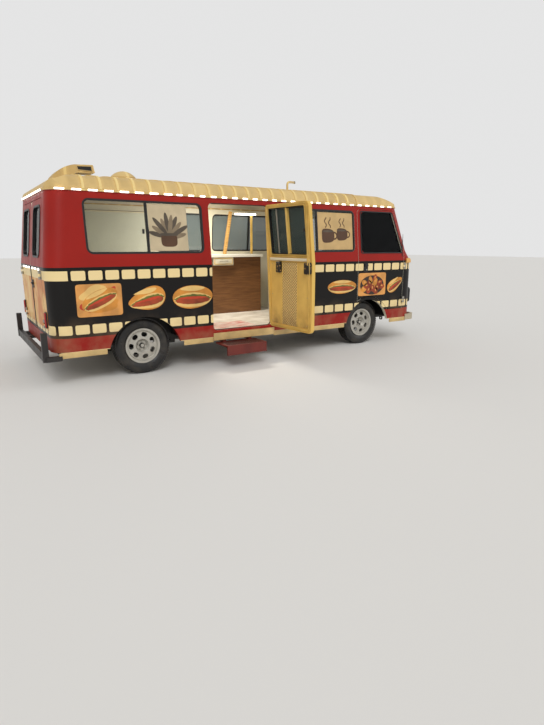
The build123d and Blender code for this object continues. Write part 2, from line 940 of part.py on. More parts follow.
with BuildPart() as exhaust:
    with BuildLine():
        FilletPolyline(
            (engine_back_x, exhaust_y, exhaust_z),
            (tail_x, exhaust_y, exhaust_z),
            (tail_x, tail_y, exhaust_z),
            radius=tail_bend_r,
        )
    with BuildSketch(Plane(origin=(engine_back_x, exhaust_y, exhaust_z), z_dir=(-1, 0, 0))):
        Circle(pipe_r)
    sweep()
    with BuildSketch(Plane.YZ.offset(silencer_x)):
        with Locations((exhaust_y, exhaust_z)):
            Circle(silencer_r)
    extrude(amount=silencer_length)
    with BuildSketch(Plane.XZ.offset(-tail_y)):
        with Locations((tail_x, exhaust_z)):
            Circle(tail_r)
    extrude(amount=tail_length)

# Bumpers
with BuildPart() as front_bumper:
    with BuildSketch(Plane.XY.offset(front_bumper_z)):
        for out, depth, radius, mode in (
            (bumper_wrap, bumper_bar_depth, bumper_corner_r + 10, Mode.ADD),
            (0, 0, bumper_corner_r, Mode.SUBTRACT),
        ):
            with Locations((bumper_back_x[1] + depth - bumper_reach, 0)):
                RectangleRounded(2 * bumper_reach, 2 * (half_width + out), radius, mode=mode)
        with Locations((bumper_back_x[1] - bumper_reach - bumper_end, 0)):
            Rectangle(2 * bumper_reach, 2 * body_width, mode=Mode.SUBTRACT)
    extrude(amount=bumper_bar_height)

with BuildPart() as rear_bumper:
    bar_x = -bumper_gap - bumper_bar_depth / 2
    with BuildSketch(Plane.XY.offset(rear_bumper_z)):
        with Locations((bar_x, 0)):
            Rectangle(bumper_bar_depth, body_width)
    extrude(amount=bumper_bar_height)
    for side in (1, -1):
        with BuildSketch(Plane.XY.offset(rear_bumper_z)):
            with Locations((bar_x, side * (half_width - guard_width / 2))):
                Rectangle(bumper_bar_depth + 14, guard_width)
        extrude(amount=guard_height)
        with BuildSketch(Plane.XY.offset(rear_bumper_z)):
            with Locations((0, side * (half_width - guard_width / 2 + bumper_wrap))):
                Rectangle(-2 * bar_x, guard_width)
        extrude(amount=guard_return)

# Side step under the door, on two arms from the frame
with BuildPart() as side_step:
    step_inner_y = rail_y + rail_width / 2
    step_outer_y = half_width + step_out
    with BuildSketch(Plane.XY.offset(step_z - step_thickness)):
        with Locations((sum(step_x) / 2, -(half_width - step_in + step_outer_y) / 2)):
            Rectangle(step_x[1] - step_x[0], step_outer_y - half_width + step_in)
    extrude(amount=step_thickness)
    with BuildSketch(Plane.XZ.offset(step_outer_y - step_thickness)):
        with Locations((sum(step_x) / 2, step_z - step_lip / 2)):
            Rectangle(step_x[1] - step_x[0], step_lip)
    extrude(amount=step_thickness)
    with BuildSketch(Plane.XY.offset(step_z)):
        for x in (step_x[0] + 90, step_x[1] - 90):
            with Locations((x, -(step_inner_y + half_width) / 2)):
                Rectangle(40, half_width - step_inner_y)
    extrude(amount=rail_bottom_z + 20 - step_z)

# Doors: each is the piece of the shell inside its opening, less a gap all round
RIGHT_HINGE = Plane(
    origin=(front_door_x[1], -half_width - hinge_offset, 0), x_dir=(1, 0, 0), z_dir=(0, 0, 1)
)
LEFT_HINGE = Plane(
    origin=(front_door_x[1], half_width + hinge_offset, 0), x_dir=(1, 0, 0), z_dir=(0, 0, -1)
)
SIDE_HINGE = Plane(
    origin=(side_door_x[1], -half_width - hinge_offset, 0), x_dir=(1, 0, 0), z_dir=(0, 0, 1)
)
REAR_RIGHT_HINGE = Plane(
    origin=(-hinge_offset, -rear_door_half, 0), x_dir=(0, -1, 0), z_dir=(0, 0, 1)
)
REAR_LEFT_HINGE = Plane(
    origin=(-hinge_offset, rear_door_half, 0), x_dir=(0, 1, 0), z_dir=(0, 0, -1)
)
HINGES = (RIGHT_HINGE, LEFT_HINGE, SIDE_HINGE, REAR_RIGHT_HINGE, REAR_LEFT_HINGE)


def hinge_plane(plane, z):
    """The plane of one hinge: x away from the door, y into the body, origin at its middle."""
    return Plane(origin=plane.origin + Vector(0, 0, z), x_dir=plane.x_dir, z_dir=plane.z_dir)


def fixed_leaf(plane, z):
    """The body's half of a hinge: a leaf on the skin, two knuckles and the pin."""
    place = hinge_plane(plane, z)
    third = hinge_height / 3
    skin = hinge_offset - leaf_thickness / 2
    with BuildPart() as leaf:
        with BuildSketch(place.offset(-hinge_height / 2)):
            Circle(hinge_pin_r)
            with Locations(((knuckle_r + 2 + hinge_leaf) / 2, skin)):
                Rectangle(hinge_leaf - knuckle_r - 2, leaf_thickness)
        extrude(amount=hinge_height)
        for low in (-hinge_height / 2, third / 2):
            with BuildSketch(place.offset(low)):
                Circle(knuckle_r)
                with Locations(((knuckle_r + 4) / 2, skin)):
                    Rectangle(knuckle_r + 4, leaf_thickness)
            extrude(amount=third)
    return leaf.part


def door_leaf(plane, z):
    """The door's half of a hinge: a leaf on the skin and the middle knuckle."""
    place = hinge_plane(plane, z)
    height = hinge_height / 3 - 1
    with BuildPart() as leaf:
        with BuildSketch(place.offset(-height / 2)):
            Circle(knuckle_r)
            with Locations((-hinge_leaf / 2, hinge_offset - leaf_thickness / 2)):
                Rectangle(hinge_leaf, leaf_thickness)
            Circle(hinge_pin_r + pin_clearance, mode=Mode.SUBTRACT)
        extrude(amount=height)
    return leaf.part


with BuildPart() as door_hinges:
    for plane in HINGES:
        for z in hinge_z:
            add(fixed_leaf(plane, z))


def door(opening, light, reach, plane):
    """A door of the shell's own form, with its window cut and its hinge leaves on."""
    with BuildPart() as panel:
        add(door_shell.part)
        extrude(opening, amount=reach, mode=Mode.INTERSECT)
        extrude(light, amount=reach, mode=Mode.SUBTRACT)
        for z in hinge_z:
            add(door_leaf(plane, z))
    return panel.part


def pane(light, reach):
    """The glass that fills a door's window."""
    with BuildPart() as glass:
        add(glass_layer.part)
        extrude(light, amount=reach, mode=Mode.INTERSECT)
    return glass.part


with BuildPart() as door_shell:
    add(outer_form)
    add(inner_form, mode=Mode.SUBTRACT)

side_opening = rounded(Plane.XZ, side_door_x, side_door_z, door_corner_r, door_gap)
with BuildSketch(Plane.XZ) as side_light_outline:
    with Locations((sum(side_door_light_x) / 2, sum(side_door_light_z) / 2)):
        RectangleRounded(
            side_door_light_x[1] - side_door_light_x[0],
            side_door_light_z[1] - side_door_light_z[0],
            side_light_corner_r,
        )
        Rectangle(window_post, side_door_light_z[1], mode=Mode.SUBTRACT)
side_light = side_light_outline.sketch
rear_doors = {}
rear_panes = {}
for name, sign, plane in (("left", 1, REAR_LEFT_HINGE), ("right", -1, REAR_RIGHT_HINGE)):
    across = sorted((sign * door_gap / 2, sign * (rear_door_half - door_gap)))
    light_across = sorted((sign * rear_light_y[0], sign * rear_light_y[1]))
    rear_opening = rounded(
        Plane.YZ,
        across,
        (door_sill_z + door_gap, rear_door_head_z - door_gap),
        door_corner_r - door_gap,
    )
    rear_light = rounded(Plane.YZ, light_across, rear_light_z, window_corner_r)
    rear_doors[name] = door(rear_opening, rear_light, frame_depth, plane)
    rear_panes[name] = pane(rear_light, frame_depth)

# The side door stands open, turned about its hinge line
side_hinge_line = Axis(SIDE_HINGE.origin, (0, 0, 1))
side_leaf = door(side_opening, side_light, body_width, SIDE_HINGE)
side_pane = pane(side_light, body_width)
with BuildPart() as side_trim:
    add(inner_form)
    add(body_form(wall + trim_thickness), mode=Mode.SUBTRACT)
    trim_outline = rounded(
        Plane.XZ,
        (side_door_x[0] + trim_margin, side_door_x[1] - trim_margin),
        (side_door_z[0] + trim_margin, trim_top_z),
        20,
    )
    extrude(trim_outline, amount=body_width, mode=Mode.INTERSECT)

with BuildPart() as side_handles:
    with BuildSketch(Plane.XZ.offset(half_width - wall)):
        for distance, width in handle_places:
            with Locations((side_door_x[1] - distance, latch_z)):
                RectangleRounded(width, latch_height, 18)
    extrude(amount=-latch_depth)
    fillet(side_handles.faces().sort_by(Axis.Y)[-2:].edges(), 8)
    add(side_trim.part, mode=Mode.SUBTRACT)
    add(door_shell.part, mode=Mode.SUBTRACT)

side_parts = {
    "side_door": side_leaf,
    "side_door_glass": side_pane,
    "side_door_trim": side_trim.part,
    "side_door_handles": side_handles.part,
}

# Lamps and grille on the nose
with BuildPart() as headlamp_bezels:
    for side in (1, -1):
        with BuildSketch(Plane.YZ.offset(body_length - corner_r)):
            with Locations((side * headlamp_y, headlamp_z)):
                RectangleRounded(headlamp_size[0], headlamp_size[1], 40)
        extrude(amount=corner_r + headlamp_depth)
        with BuildSketch(Plane.YZ.offset(body_length + lamp_seat)):
            with Locations((side * headlamp_y, headlamp_z)):
                Circle(headlamp_r)
        extrude(amount=headlamp_depth, mode=Mode.SUBTRACT)
    add(outer_form, mode=Mode.SUBTRACT)


dome_r = dome_radius(headlamp_r, lens_rise)
with BuildPart() as lens_domes:
    for side in (1, -1):
        with Locations((body_length + headlamp_depth - dome_r, side * headlamp_y, headlamp_z)):
            Sphere(dome_r)

with BuildPart() as headlamp_lenses:
    for side in (1, -1):
        with BuildSketch(Plane.YZ.offset(body_length + lamp_seat)):
            with Locations((side * headlamp_y, headlamp_z)):
                Circle(headlamp_r)
        extrude(amount=headlamp_depth - lamp_seat)
    add(lens_domes.part, mode=Mode.INTERSECT)

with BuildPart() as grille:
    grille_width = 2 * (headlamp_y - headlamp_size[0] / 2)
    with BuildSketch(Plane.YZ.offset(body_length - 60)):
        with Locations((0, headlamp_z)):
            Rectangle(grille_width, headlamp_size[1])
            Rectangle(
                grille_width - 2 * grille_frame,
                headlamp_size[1] - 2 * grille_frame,
                mode=Mode.SUBTRACT,
            )
            with GridLocations(1, headlamp_size[1] / (grille_bar_count + 1), 1, grille_bar_count):
                Rectangle(grille_width - grille_frame, grille_bar)
    extrude(amount=60 + grille_depth)
    add(outer_form, mode=Mode.SUBTRACT)

with BuildPart() as indicators:
    add(body_form(-indicator_depth))
    with BuildSketch(Plane.XY.offset(indicator_z[0])):
        for side in (1, -1):
            with Locations((body_length, side * (half_width - indicator_width / 2 + 30))):
                Rectangle(2 * indicator_length, indicator_width + 60)
    extrude(amount=indicator_z[1] - indicator_z[0], mode=Mode.INTERSECT)
    add(outer_form, mode=Mode.SUBTRACT)

with BuildPart() as tail_lamps:
    with BuildSketch(Plane.YZ):
        for side in (1, -1):
            with Locations((side * tail_lamp_y, tail_lamp_z)):
                RectangleRounded(tail_lamp_size[0], tail_lamp_size[1], 12)
    extrude(amount=-tail_lamp_size[2])

# Light modules along the gutter lip
with BuildPart() as light_modules:
    lip_y = roof_half + lip_out
    front_reach = roof_front_x - front_light_margin - front_lights[0]
    front_run = (*front_lights[:2], 1 + int(front_reach / front_lights[1]), front_lights[2])
    with BuildSketch(Plane.XY.offset(gutter_z)):
        for first, pitch, count, length in (*light_runs, front_run):
            for index in range(count):
                for side in (1, -1):
                    with Locations((first + index * pitch, side * (lip_y + light_depth / 2))):
                        Rectangle(length, light_depth)
        with Locations((roof_rear_x - lip_out - light_depth / 2, 0)):
            with GridLocations(1, rear_light_pitch, 1, rear_light_count):
                Rectangle(light_depth, rear_light_length)
    extrude(amount=light_height)

# Roof fittings: rear air cowl, round vent and a bent flue
vent_dome_r = dome_radius(vent_r, vent_height - vent_rim)
with BuildPart() as vent_cap:
    with BuildSketch(Plane.XY.offset(vent_base_z)):
        with Locations((vent_x, 0)):
            Circle(vent_r)
    extrude(amount=vent_height)
    with Locations((vent_x, 0, vent_base_z + vent_height - vent_dome_r)):
        Sphere(vent_dome_r, mode=Mode.INTERSECT)

with BuildPart() as roof_fittings:
    with BuildSketch(Plane.XZ.offset(-cowl_width / 2)):
        with BuildLine():
            Line((cowl_x, roof_base_z), (cowl_x, roof_base_z + 80))
            ThreePointArc(
                (cowl_x, roof_base_z + 80),
                (cowl_x + 110, cowl_top_z - 58),
                (cowl_x + 250, cowl_top_z - 8),
            )
            Line((cowl_x + 250, cowl_top_z - 8), (cowl_x + cowl_length, cowl_top_z))
            Line(
                (cowl_x + cowl_length, cowl_top_z),
                (cowl_x + cowl_length + 20, cowl_top_z - cowl_mouth),
            )
            Line(
                (cowl_x + cowl_length + 20, cowl_top_z - cowl_mouth),
                (cowl_x + 290, cowl_top_z - cowl_mouth - 8),
            )
            ThreePointArc(
                (cowl_x + 290, cowl_top_z - cowl_mouth - 8),
                (cowl_x + 235, cowl_top_z - cowl_mouth - 30),
                (cowl_x + 215, roof_base_z),
            )
            Line((cowl_x + 215, roof_base_z), (cowl_x, roof_base_z))
        make_face()
    extrude(amount=cowl_width)
    with BuildSketch(Plane.YZ.offset(cowl_x + cowl_length + 30)):
        with Locations((0, cowl_top_z - cowl_mouth / 2 - 2)):
            Rectangle(cowl_width - 2 * cowl_wall, cowl_mouth - 2 * cowl_wall)
    extrude(amount=-cowl_mouth_depth, mode=Mode.SUBTRACT)
    with BuildSketch(Plane.XY.offset(roof_base_z)):
        with Locations((vent_x, 0)):
            Circle(vent_neck_r)
        with Locations((flue_x, flue_y)):
            Circle(flue_r)
    extrude(amount=gutter_z + roof_rise + vent_gap - roof_base_z)
    add(vent_cap.part)
    with BuildLine():
        FilletPolyline(
            (flue_x, flue_y, vent_base_z),
            (flue_x, flue_y, flue_top_z),
            (flue_x + flue_reach, flue_y, flue_top_z),
            radius=2.5 * flue_r,
        )
    with BuildSketch(Plane((flue_x, flue_y, vent_base_z))):
        Circle(flue_r)
    sweep()
    add(roof_outer, mode=Mode.SUBTRACT)
    add(rib_set.part, mode=Mode.SUBTRACT)

# Kitchen along the left wall
with BuildPart() as worktop:
    counter_mid_x = sum(counter_x) / 2
    counter_length = counter_x[1] - counter_x[0]
    with BuildSketch(Plane.XY.offset(counter_top_z - counter_thickness)):
        with Locations((counter_mid_x, (counter_front_y + half_width) / 2)):
            Rectangle(counter_length, half_width - counter_front_y)
    extrude(amount=counter_thickness)
    drawer_top = counter_top_z - counter_thickness
    with BuildSketch(Plane.XY.offset(drawer_top - drawer_size[1])):
        with Locations((drawer_x, (counter_front_y + 5 + panel_y) / 2)):
            Rectangle(drawer_size[0], panel_y - counter_front_y - 5)
    extrude(amount=drawer_size[1])
    with BuildSketch(Plane.XZ.offset(-counter_front_y - 5)):
        with Locations((drawer_x, drawer_top - drawer_size[1] / 2)):
            Rectangle(drawer_size[0] - 2 * drawer_wall, drawer_size[1] - 2 * drawer_wall)
    extrude(amount=-(panel_set_back - 5 - drawer_wall), mode=Mode.SUBTRACT)
    add(body_form(wall + counter_wall_gap), mode=Mode.INTERSECT)

with BuildPart() as counter_panel:
    with BuildSketch(Plane.XY.offset(floor_top_z)):
        with Locations((counter_mid_x, panel_y + panel_thickness / 2)):
            Rectangle(counter_length, panel_thickness)
        for x in (counter_x[0] + panel_thickness / 2, counter_x[1] - panel_thickness / 2):
            with Locations((x, (panel_y + half_width) / 2)):
                Rectangle(panel_thickness, half_width - panel_y)
    extrude(amount=drawer_top - floor_top_z)
    add(inner_form, mode=Mode.INTERSECT)

# Cab: two seats on the wheel housings, the dashboard and the steering wheel
with BuildPart() as seats:
    for side in (1, -1):
        with BuildSketch(Plane.XZ.offset(side * seat_y - seat_width / 2)) as seat_section:
            with BuildLine():
                Polyline(
                    (seat_x, seat_z),
                    (seat_x + seat_length, seat_z + 20),
                    (seat_x + seat_length + 15, seat_z + 70),
                    (seat_x + seat_length - 20, seat_z + 135),
                    (seat_x + 110, seat_z + 105),
                    (seat_x - 10, seat_z + seat_back),
                    (seat_x - 75, seat_z + seat_back - 10),
                    (seat_x - 10, seat_z + 60),
                    close=True,
                )
            make_face()
            fillet(seat_section.vertices(), 18)
        extrude(amount=seat_width)
        with BuildSketch(Plane.XY.offset(housing_top_z)):
            with Locations((seat_x + seat_length / 2, -side * seat_y)):
                Rectangle(seat_length - 60, seat_width - 60)
        extrude(amount=seat_z + 40 - housing_top_z)

with BuildPart() as dashboard:
    dash_half = half_width - dash_margin
    with BuildSketch(Plane.XZ.offset(-dash_half)):
        with BuildLine():
            Polyline(
                (dash_x, dash_z[0]),
                (dash_x - 20, dash_z[0] + 90),
                (dash_x - 10, dash_z[1] - 40),
                (dash_x + 50, dash_z[1]),
                (body_length, dash_z[1]),
                (body_length, dash_z[0]),
                close=True,
            )
        make_face()
    extrude(amount=2 * dash_half)
    add(inner_form, mode=Mode.INTERSECT)

with BuildPart() as steering_wheel:
    column = Plane(Location((steering_x, seat_y, steering_z), (0, -steering_rake, 0)))
    with BuildSketch(column):
        Circle(steering_r)
        Circle(steering_r - steering_rim, mode=Mode.SUBTRACT)
        Rectangle(steering_spoke, 2 * steering_r - steering_rim)
        Circle(steering_hub_r)
    extrude(amount=steering_rim)
    fillet(
        steering_wheel.edges().filter_by(GeomType.CIRCLE).sort_by(SortBy.RADIUS)[-2:],
        0.4 * steering_rim,
    )
    with BuildSketch(column):
        Circle(steering_column_r)
    extrude(amount=-steering_column)
    split(bisect_by=Plane.XY.offset(floor_top_z), keep=Keep.TOP)
    add(dashboard.part, mode=Mode.SUBTRACT)

# Names, pieces and labels
wheels = {
    "front_left": (front_axle_x, 1),
    "front_right": (front_axle_x, -1),
    "rear_left": (rear_axle_x, 1),
    "rear_right": (rear_axle_x, -1),
}
pieces = {
    "side_panel_right": side_panel_right.part,
    "side_panel_left": side_panel_left.part,
    "rear_frame": rear_frame.part,
    "front_frame": front_frame.part,
    "windscreen": windscreen.part,
    "side_glass_right": side_glass_right.part,
    "side_glass_left": side_glass_left.part,
    "window_frames": window_frames.part,
    "roof": roof.part,
    "floor": floor.part,
    "wheel_housings": wheel_housings.part,
    "engine": engine.part,
    "engine_cover": engine_cover.part,
    "chassis_frame": chassis_frame.part,
    "rear_axle": rear_axle.part,
    "rear_springs": rear_springs.part,
    "front_suspension": front_suspension.part,
    "knuckle_left": knuckle(1),
    "knuckle_right": knuckle(-1),
    "drive_shafts": drive_shafts.part,
    "fuel_tank": fuel_tank.part,
    "exhaust": exhaust.part,
    "front_bumper": front_bumper.part,
    "rear_bumper": rear_bumper.part,
    "side_step": side_step.part,
    "headlamp_bezels": headlamp_bezels.part,
    "headlamp_lenses": headlamp_lenses.part,
    "grille": grille.part,
    "indicators": indicators.part,
    "tail_lamps": tail_lamps.part,
    "light_modules": light_modules.part,
    "roof_fittings": roof_fittings.part,
    "worktop": worktop.part,
    "counter_panel": counter_panel.part,
    "seats": seats.part,
    "dashboard": dashboard.part,
    "steering_wheel": steering_wheel.part,
}
for name, piece in side_parts.items():
    pieces[name] = piece.rotate(side_hinge_line, side_door_open)
for name in rear_doors:
    pieces["rear_door_" + name] = rear_doors[name]
    pieces["rear_door_glass_" + name] = rear_panes[name]
for name, side, plane in (("right", RIGHT, RIGHT_HINGE), ("left", LEFT, LEFT_HINGE)):
    reach = side * body_width
    pieces["front_door_" + name] = door(
        front_door_outline(door_gap), front_light_outline(), reach, plane
    )
    pieces["front_door_glass_" + name] = pane(front_light_outline(), reach)
pieces["door_hinges"] = door_hinges.part
for name, (x, side) in wheels.items():
    pieces["wheel_" + name] = wheel(x, side)
    pieces["tyre_" + name] = tyre(x, side)

# The origin is on the ground, under the middle of the whole object
boxes = [piece.bounding_box() for piece in pieces.values()]
middle_x = (min(box.min.X for box in boxes) + max(box.max.X for box in boxes)) / 2
middle_y = (min(box.min.Y for box in boxes) + max(box.max.Y for box in boxes)) / 2

os.makedirs("parts", exist_ok=True)
for name, piece in pieces.items():
    piece = piece.moved(Location((-middle_x, -middle_y, 0)))
    piece.label = name
    export_step(piece, "parts/" + name + ".step")
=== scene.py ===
import math

import bmesh
import bpy
from mathutils import Matrix, Vector


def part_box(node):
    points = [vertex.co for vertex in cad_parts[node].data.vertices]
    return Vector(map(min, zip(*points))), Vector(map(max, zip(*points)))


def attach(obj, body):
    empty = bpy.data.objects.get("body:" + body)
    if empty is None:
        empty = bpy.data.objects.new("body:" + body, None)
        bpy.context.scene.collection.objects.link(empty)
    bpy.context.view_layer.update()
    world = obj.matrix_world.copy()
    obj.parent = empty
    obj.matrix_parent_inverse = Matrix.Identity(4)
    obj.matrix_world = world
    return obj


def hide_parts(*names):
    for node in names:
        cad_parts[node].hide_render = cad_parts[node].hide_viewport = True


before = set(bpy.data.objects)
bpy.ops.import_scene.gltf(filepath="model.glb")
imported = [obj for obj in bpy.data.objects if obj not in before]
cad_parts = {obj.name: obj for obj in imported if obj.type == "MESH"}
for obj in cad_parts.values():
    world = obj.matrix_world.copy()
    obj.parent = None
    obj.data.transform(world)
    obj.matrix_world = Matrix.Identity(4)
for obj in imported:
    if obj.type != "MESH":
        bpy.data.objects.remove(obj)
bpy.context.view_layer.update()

# Places of the van, in metres: x from the body's rear face, y from its centre plane, z from
# the ground. RIGHT is the side with the doorway.
RIGHT = -1
LEFT = 1
SIDES = (RIGHT, LEFT)
WORDS = {RIGHT: "right", LEFT: "left"}
UP = (0.0, 0.0, 1.0)
FORWARD = (1.0, 0.0, 0.0)
REARWARD = (-1.0, 0.0, 0.0)
REAR_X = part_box("side_panel_left")[0].x
MID_Y = (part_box("front_bumper")[0].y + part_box("front_bumper")[1].y) / 2
HALF_WIDTH = 0.965
BODY_LENGTH = 5.3
BELT_Z = 1.23
GUTTER_Z = 1.99
SIDE_LEAN = 0.08
REAR_LEAN = 0.09
WALL = 0.045
INNER_Y = HALF_WIDTH - WALL
WORKTOP_Z = 1.318
STEP_TOP = 0.29
STEP_RIDGES = 7
RIDGE_PITCH = 0.03

# The roof's ribs
RIB_COUNT = 21
RIB_FIRST_X = 0.44
RIB_PITCH = 0.176
RIB_WIDTH = 0.03

# The side door, as if it were shut
DOOR_HINGE = (2.672, -0.979)
DOOR_OPEN = 92
DOOR_X = (1.82, 2.672)
DOOR_Z = (0.44, 1.935)
DOOR_LIGHT_X = (1.89, 2.59)
DOOR_LIGHT_Z = (1.35, 1.88)
LOZENGE_STRIP = (0.283, 0.578)
LOZENGE_PITCH = 0.034

# The windscreen: x and z of its foot, how far it leans back on the way up, and the half width
# and z of its opening's foot and head
SCREEN_FOOT = (5.18, 1.38)
SCREEN_RAKE = 0.21 / 0.61
SCREEN_LIGHT = ((0.861, 1.409), (0.751, 1.941))
SEAL_CORNER = 0.086

# The middle of the headlamps
LAMP_Y = 0.69
LAMP_Z = 0.69
RIM_SIDES = 48

# Film strip on the sides. Behind and ahead of STRIP_CHANGE_X its squares have their own start
# and pitch
BAND_Z = (0.51, 1.232)
SQUARE_ROWS = (1.148, 0.591)
SQUARE_SIZE = (0.143, 0.098)
SQUARE_ROUND = 0.016
FRONT_SQUARE_EXTRA = 0.008
REAR_STRIP = (0.2151, 0.1729)
FRONT_STRIP = (3.5217, 0.1816)
STRIP_CHANGE_X = 2.68
CORNER_BAR_X = 0.2
SILL_TRIM_Z = (0.3, 0.366)

# Cloudy print on the rear doors
PRINT_AREA_Z = (0.585, 1.105)
PRINT_AREA_Y = 0.8


def spot(x, y, z):
    """A point of the van as a vector in the frame."""
    return Vector((REAR_X + x, MID_Y + y, z))


def srgb(red, green, blue):
    """A colour given as it shows on a screen, 0 to 255, as the shader's linear values."""
    return tuple(
        c / 12.92 if c <= 0.04045 else ((c + 0.055) / 1.055) ** 2.4
        for c in (red / 255, green / 255, blue / 255)
    )


RED = srgb(154, 26, 16)
BAND_BLACK = srgb(15, 12, 11)
CREAM = srgb(238, 214, 158)
LINING = srgb(226, 220, 198)
DOOR_CREAM = srgb(224, 184, 96)
ROOF_TAN = srgb(204, 172, 110)


class Finish:
    """One material: its shader, and short calls for the nodes that feed it."""

    def __init__(self, name, colour, roughness=0.5, metallic=0.0):
        self.material = bpy.data.materials.new(name)
        self.material.use_nodes = True
        self.nodes = self.material.node_tree.nodes
        self.links = self.material.node_tree.links
        self.shader = self.nodes["Principled BSDF"]
        self.put("Base Color", (*colour, 1.0))
        self.put("Roughness", roughness)
        self.put("Metallic", metallic)

    def put(self, socket, value):
        """A value, or another node's output, on one of the shader's sockets."""
        self.join(value, self.shader.inputs[socket])

    def join(self, value, socket):
        if isinstance(value, bpy.types.NodeSocket):
            self.links.new(value, socket)
        else:
            socket.default_value = value

    def coords(self, output="Object"):
        """The place on the object, or the normal, as three numbers."""
        source = self.nodes.new("ShaderNodeTexCoord")
        split = self.nodes.new("ShaderNodeSeparateXYZ")
        self.links.new(source.outputs[output], split.inputs[0])
        return split.outputs

    def calc(self, operation, *values):
        node = self.nodes.new("ShaderNodeMath")
        node.operation = operation
        for value, socket in zip(values, node.inputs):
            self.join(value, socket)
        return node.outputs[0]

    def between(self, value, low, high):
        """1 where value lies between low and high."""
        return self.calc(
            "MULTIPLY",
            self.calc("GREATER_THAN", value, low),
            self.calc("LESS_THAN", value, high),
        )

    def blend(self, share, first, second):
        """The first colour where share is 0, the second where it is 1."""
        node = self.nodes.new("ShaderNodeMix")
        node.data_type = "RGBA"
        self.join(share, node.inputs[0])
        for value, socket in ((first, node.inputs[6]), (second, node.inputs[7])):
            self.join((*value, 1.0) if isinstance(value, tuple) else value, socket)
        return node.outputs[2]

    def noise(self, scale, detail=3.0, stretch=(1.0, 1.0, 1.0)):
        source = self.nodes.new("ShaderNodeTexCoord")
        mapping = self.nodes.new("ShaderNodeMapping")
        mapping.inputs["Scale"].default_value = stretch
        node = self.nodes.new("ShaderNodeTexNoise")
        node.inputs["Scale"].default_value = scale
        node.inputs["Detail"].default_value = detail
        self.links.new(source.outputs["Object"], mapping.inputs["Vector"])
        self.links.new(mapping.outputs[0], node.inputs["Vector"])
        return node.outputs[0]

    def ramp(self, value, low, high):
        """Value stretched so that low gives 0 and high gives 1."""
        node = self.nodes.new("ShaderNodeMapRange")
        self.join(value, node.inputs["Value"])
        node.inputs["From Min"].default_value = low
        node.inputs["From Max"].default_value = high
        return node.outputs[0]

    def bump(self, height, distance):
        node = self.nodes.new("ShaderNodeBump")
        node.inputs["Distance"].default_value = distance
        node.inputs["Strength"].default_value = 1.0
        self.join(height, node.inputs["Height"])
        self.put("Normal", node.outputs[0])


def plain_finish(name, colour, roughness, metallic=0.0, grain=60.0, mottle=0.12, depth=0.0002):
    """A worn, slightly mottled surface with a fine grain."""
    finish = Finish(name, colour, roughness, metallic)
    dark = tuple(c * (1 - 2 * mottle) for c in colour)
    patch = finish.ramp(finish.noise(6.0, 5.0), 0.35, 0.65)
    finish.put("Base Color", finish.blend(patch, dark, colour))
    finish.put("Roughness", finish.ramp(finish.noise(11.0, 4.0), -1.2 + roughness, 1.4 + roughness))
    finish.bump(finish.noise(grain, 2.0), depth)
    return finish


def square_mask(finish, along, z, width, first, pitch, row_z):
    """1 inside the rounded squares of one row."""
    cell = finish.calc("DIVIDE", finish.calc("SUBTRACT", along, first), pitch)
    offset = finish.calc("ABSOLUTE", finish.calc("SUBTRACT", finish.calc("FRACT", cell), 0.5))
    across = finish.calc("MULTIPLY", offset, pitch)
    up = finish.calc("ABSOLUTE", finish.calc("SUBTRACT", z, row_z))
    inner = finish.calc("SUBTRACT", finish.calc("DIVIDE", width, 2.0), SQUARE_ROUND)
    over_x = finish.calc("MAXIMUM", finish.calc("SUBTRACT", across, inner), 0.0)
    over_z = finish.calc(
        "MAXIMUM", finish.calc("SUBTRACT", up, SQUARE_SIZE[1] / 2 - SQUARE_ROUND), 0.0
    )
    distance = finish.calc(
        "SQRT",
        finish.calc(
            "ADD", finish.calc("MULTIPLY", over_x, over_x), finish.calc("MULTIPLY", over_z, over_z)
        ),
    )
    return finish.calc("LESS_THAN", distance, SQUARE_ROUND)


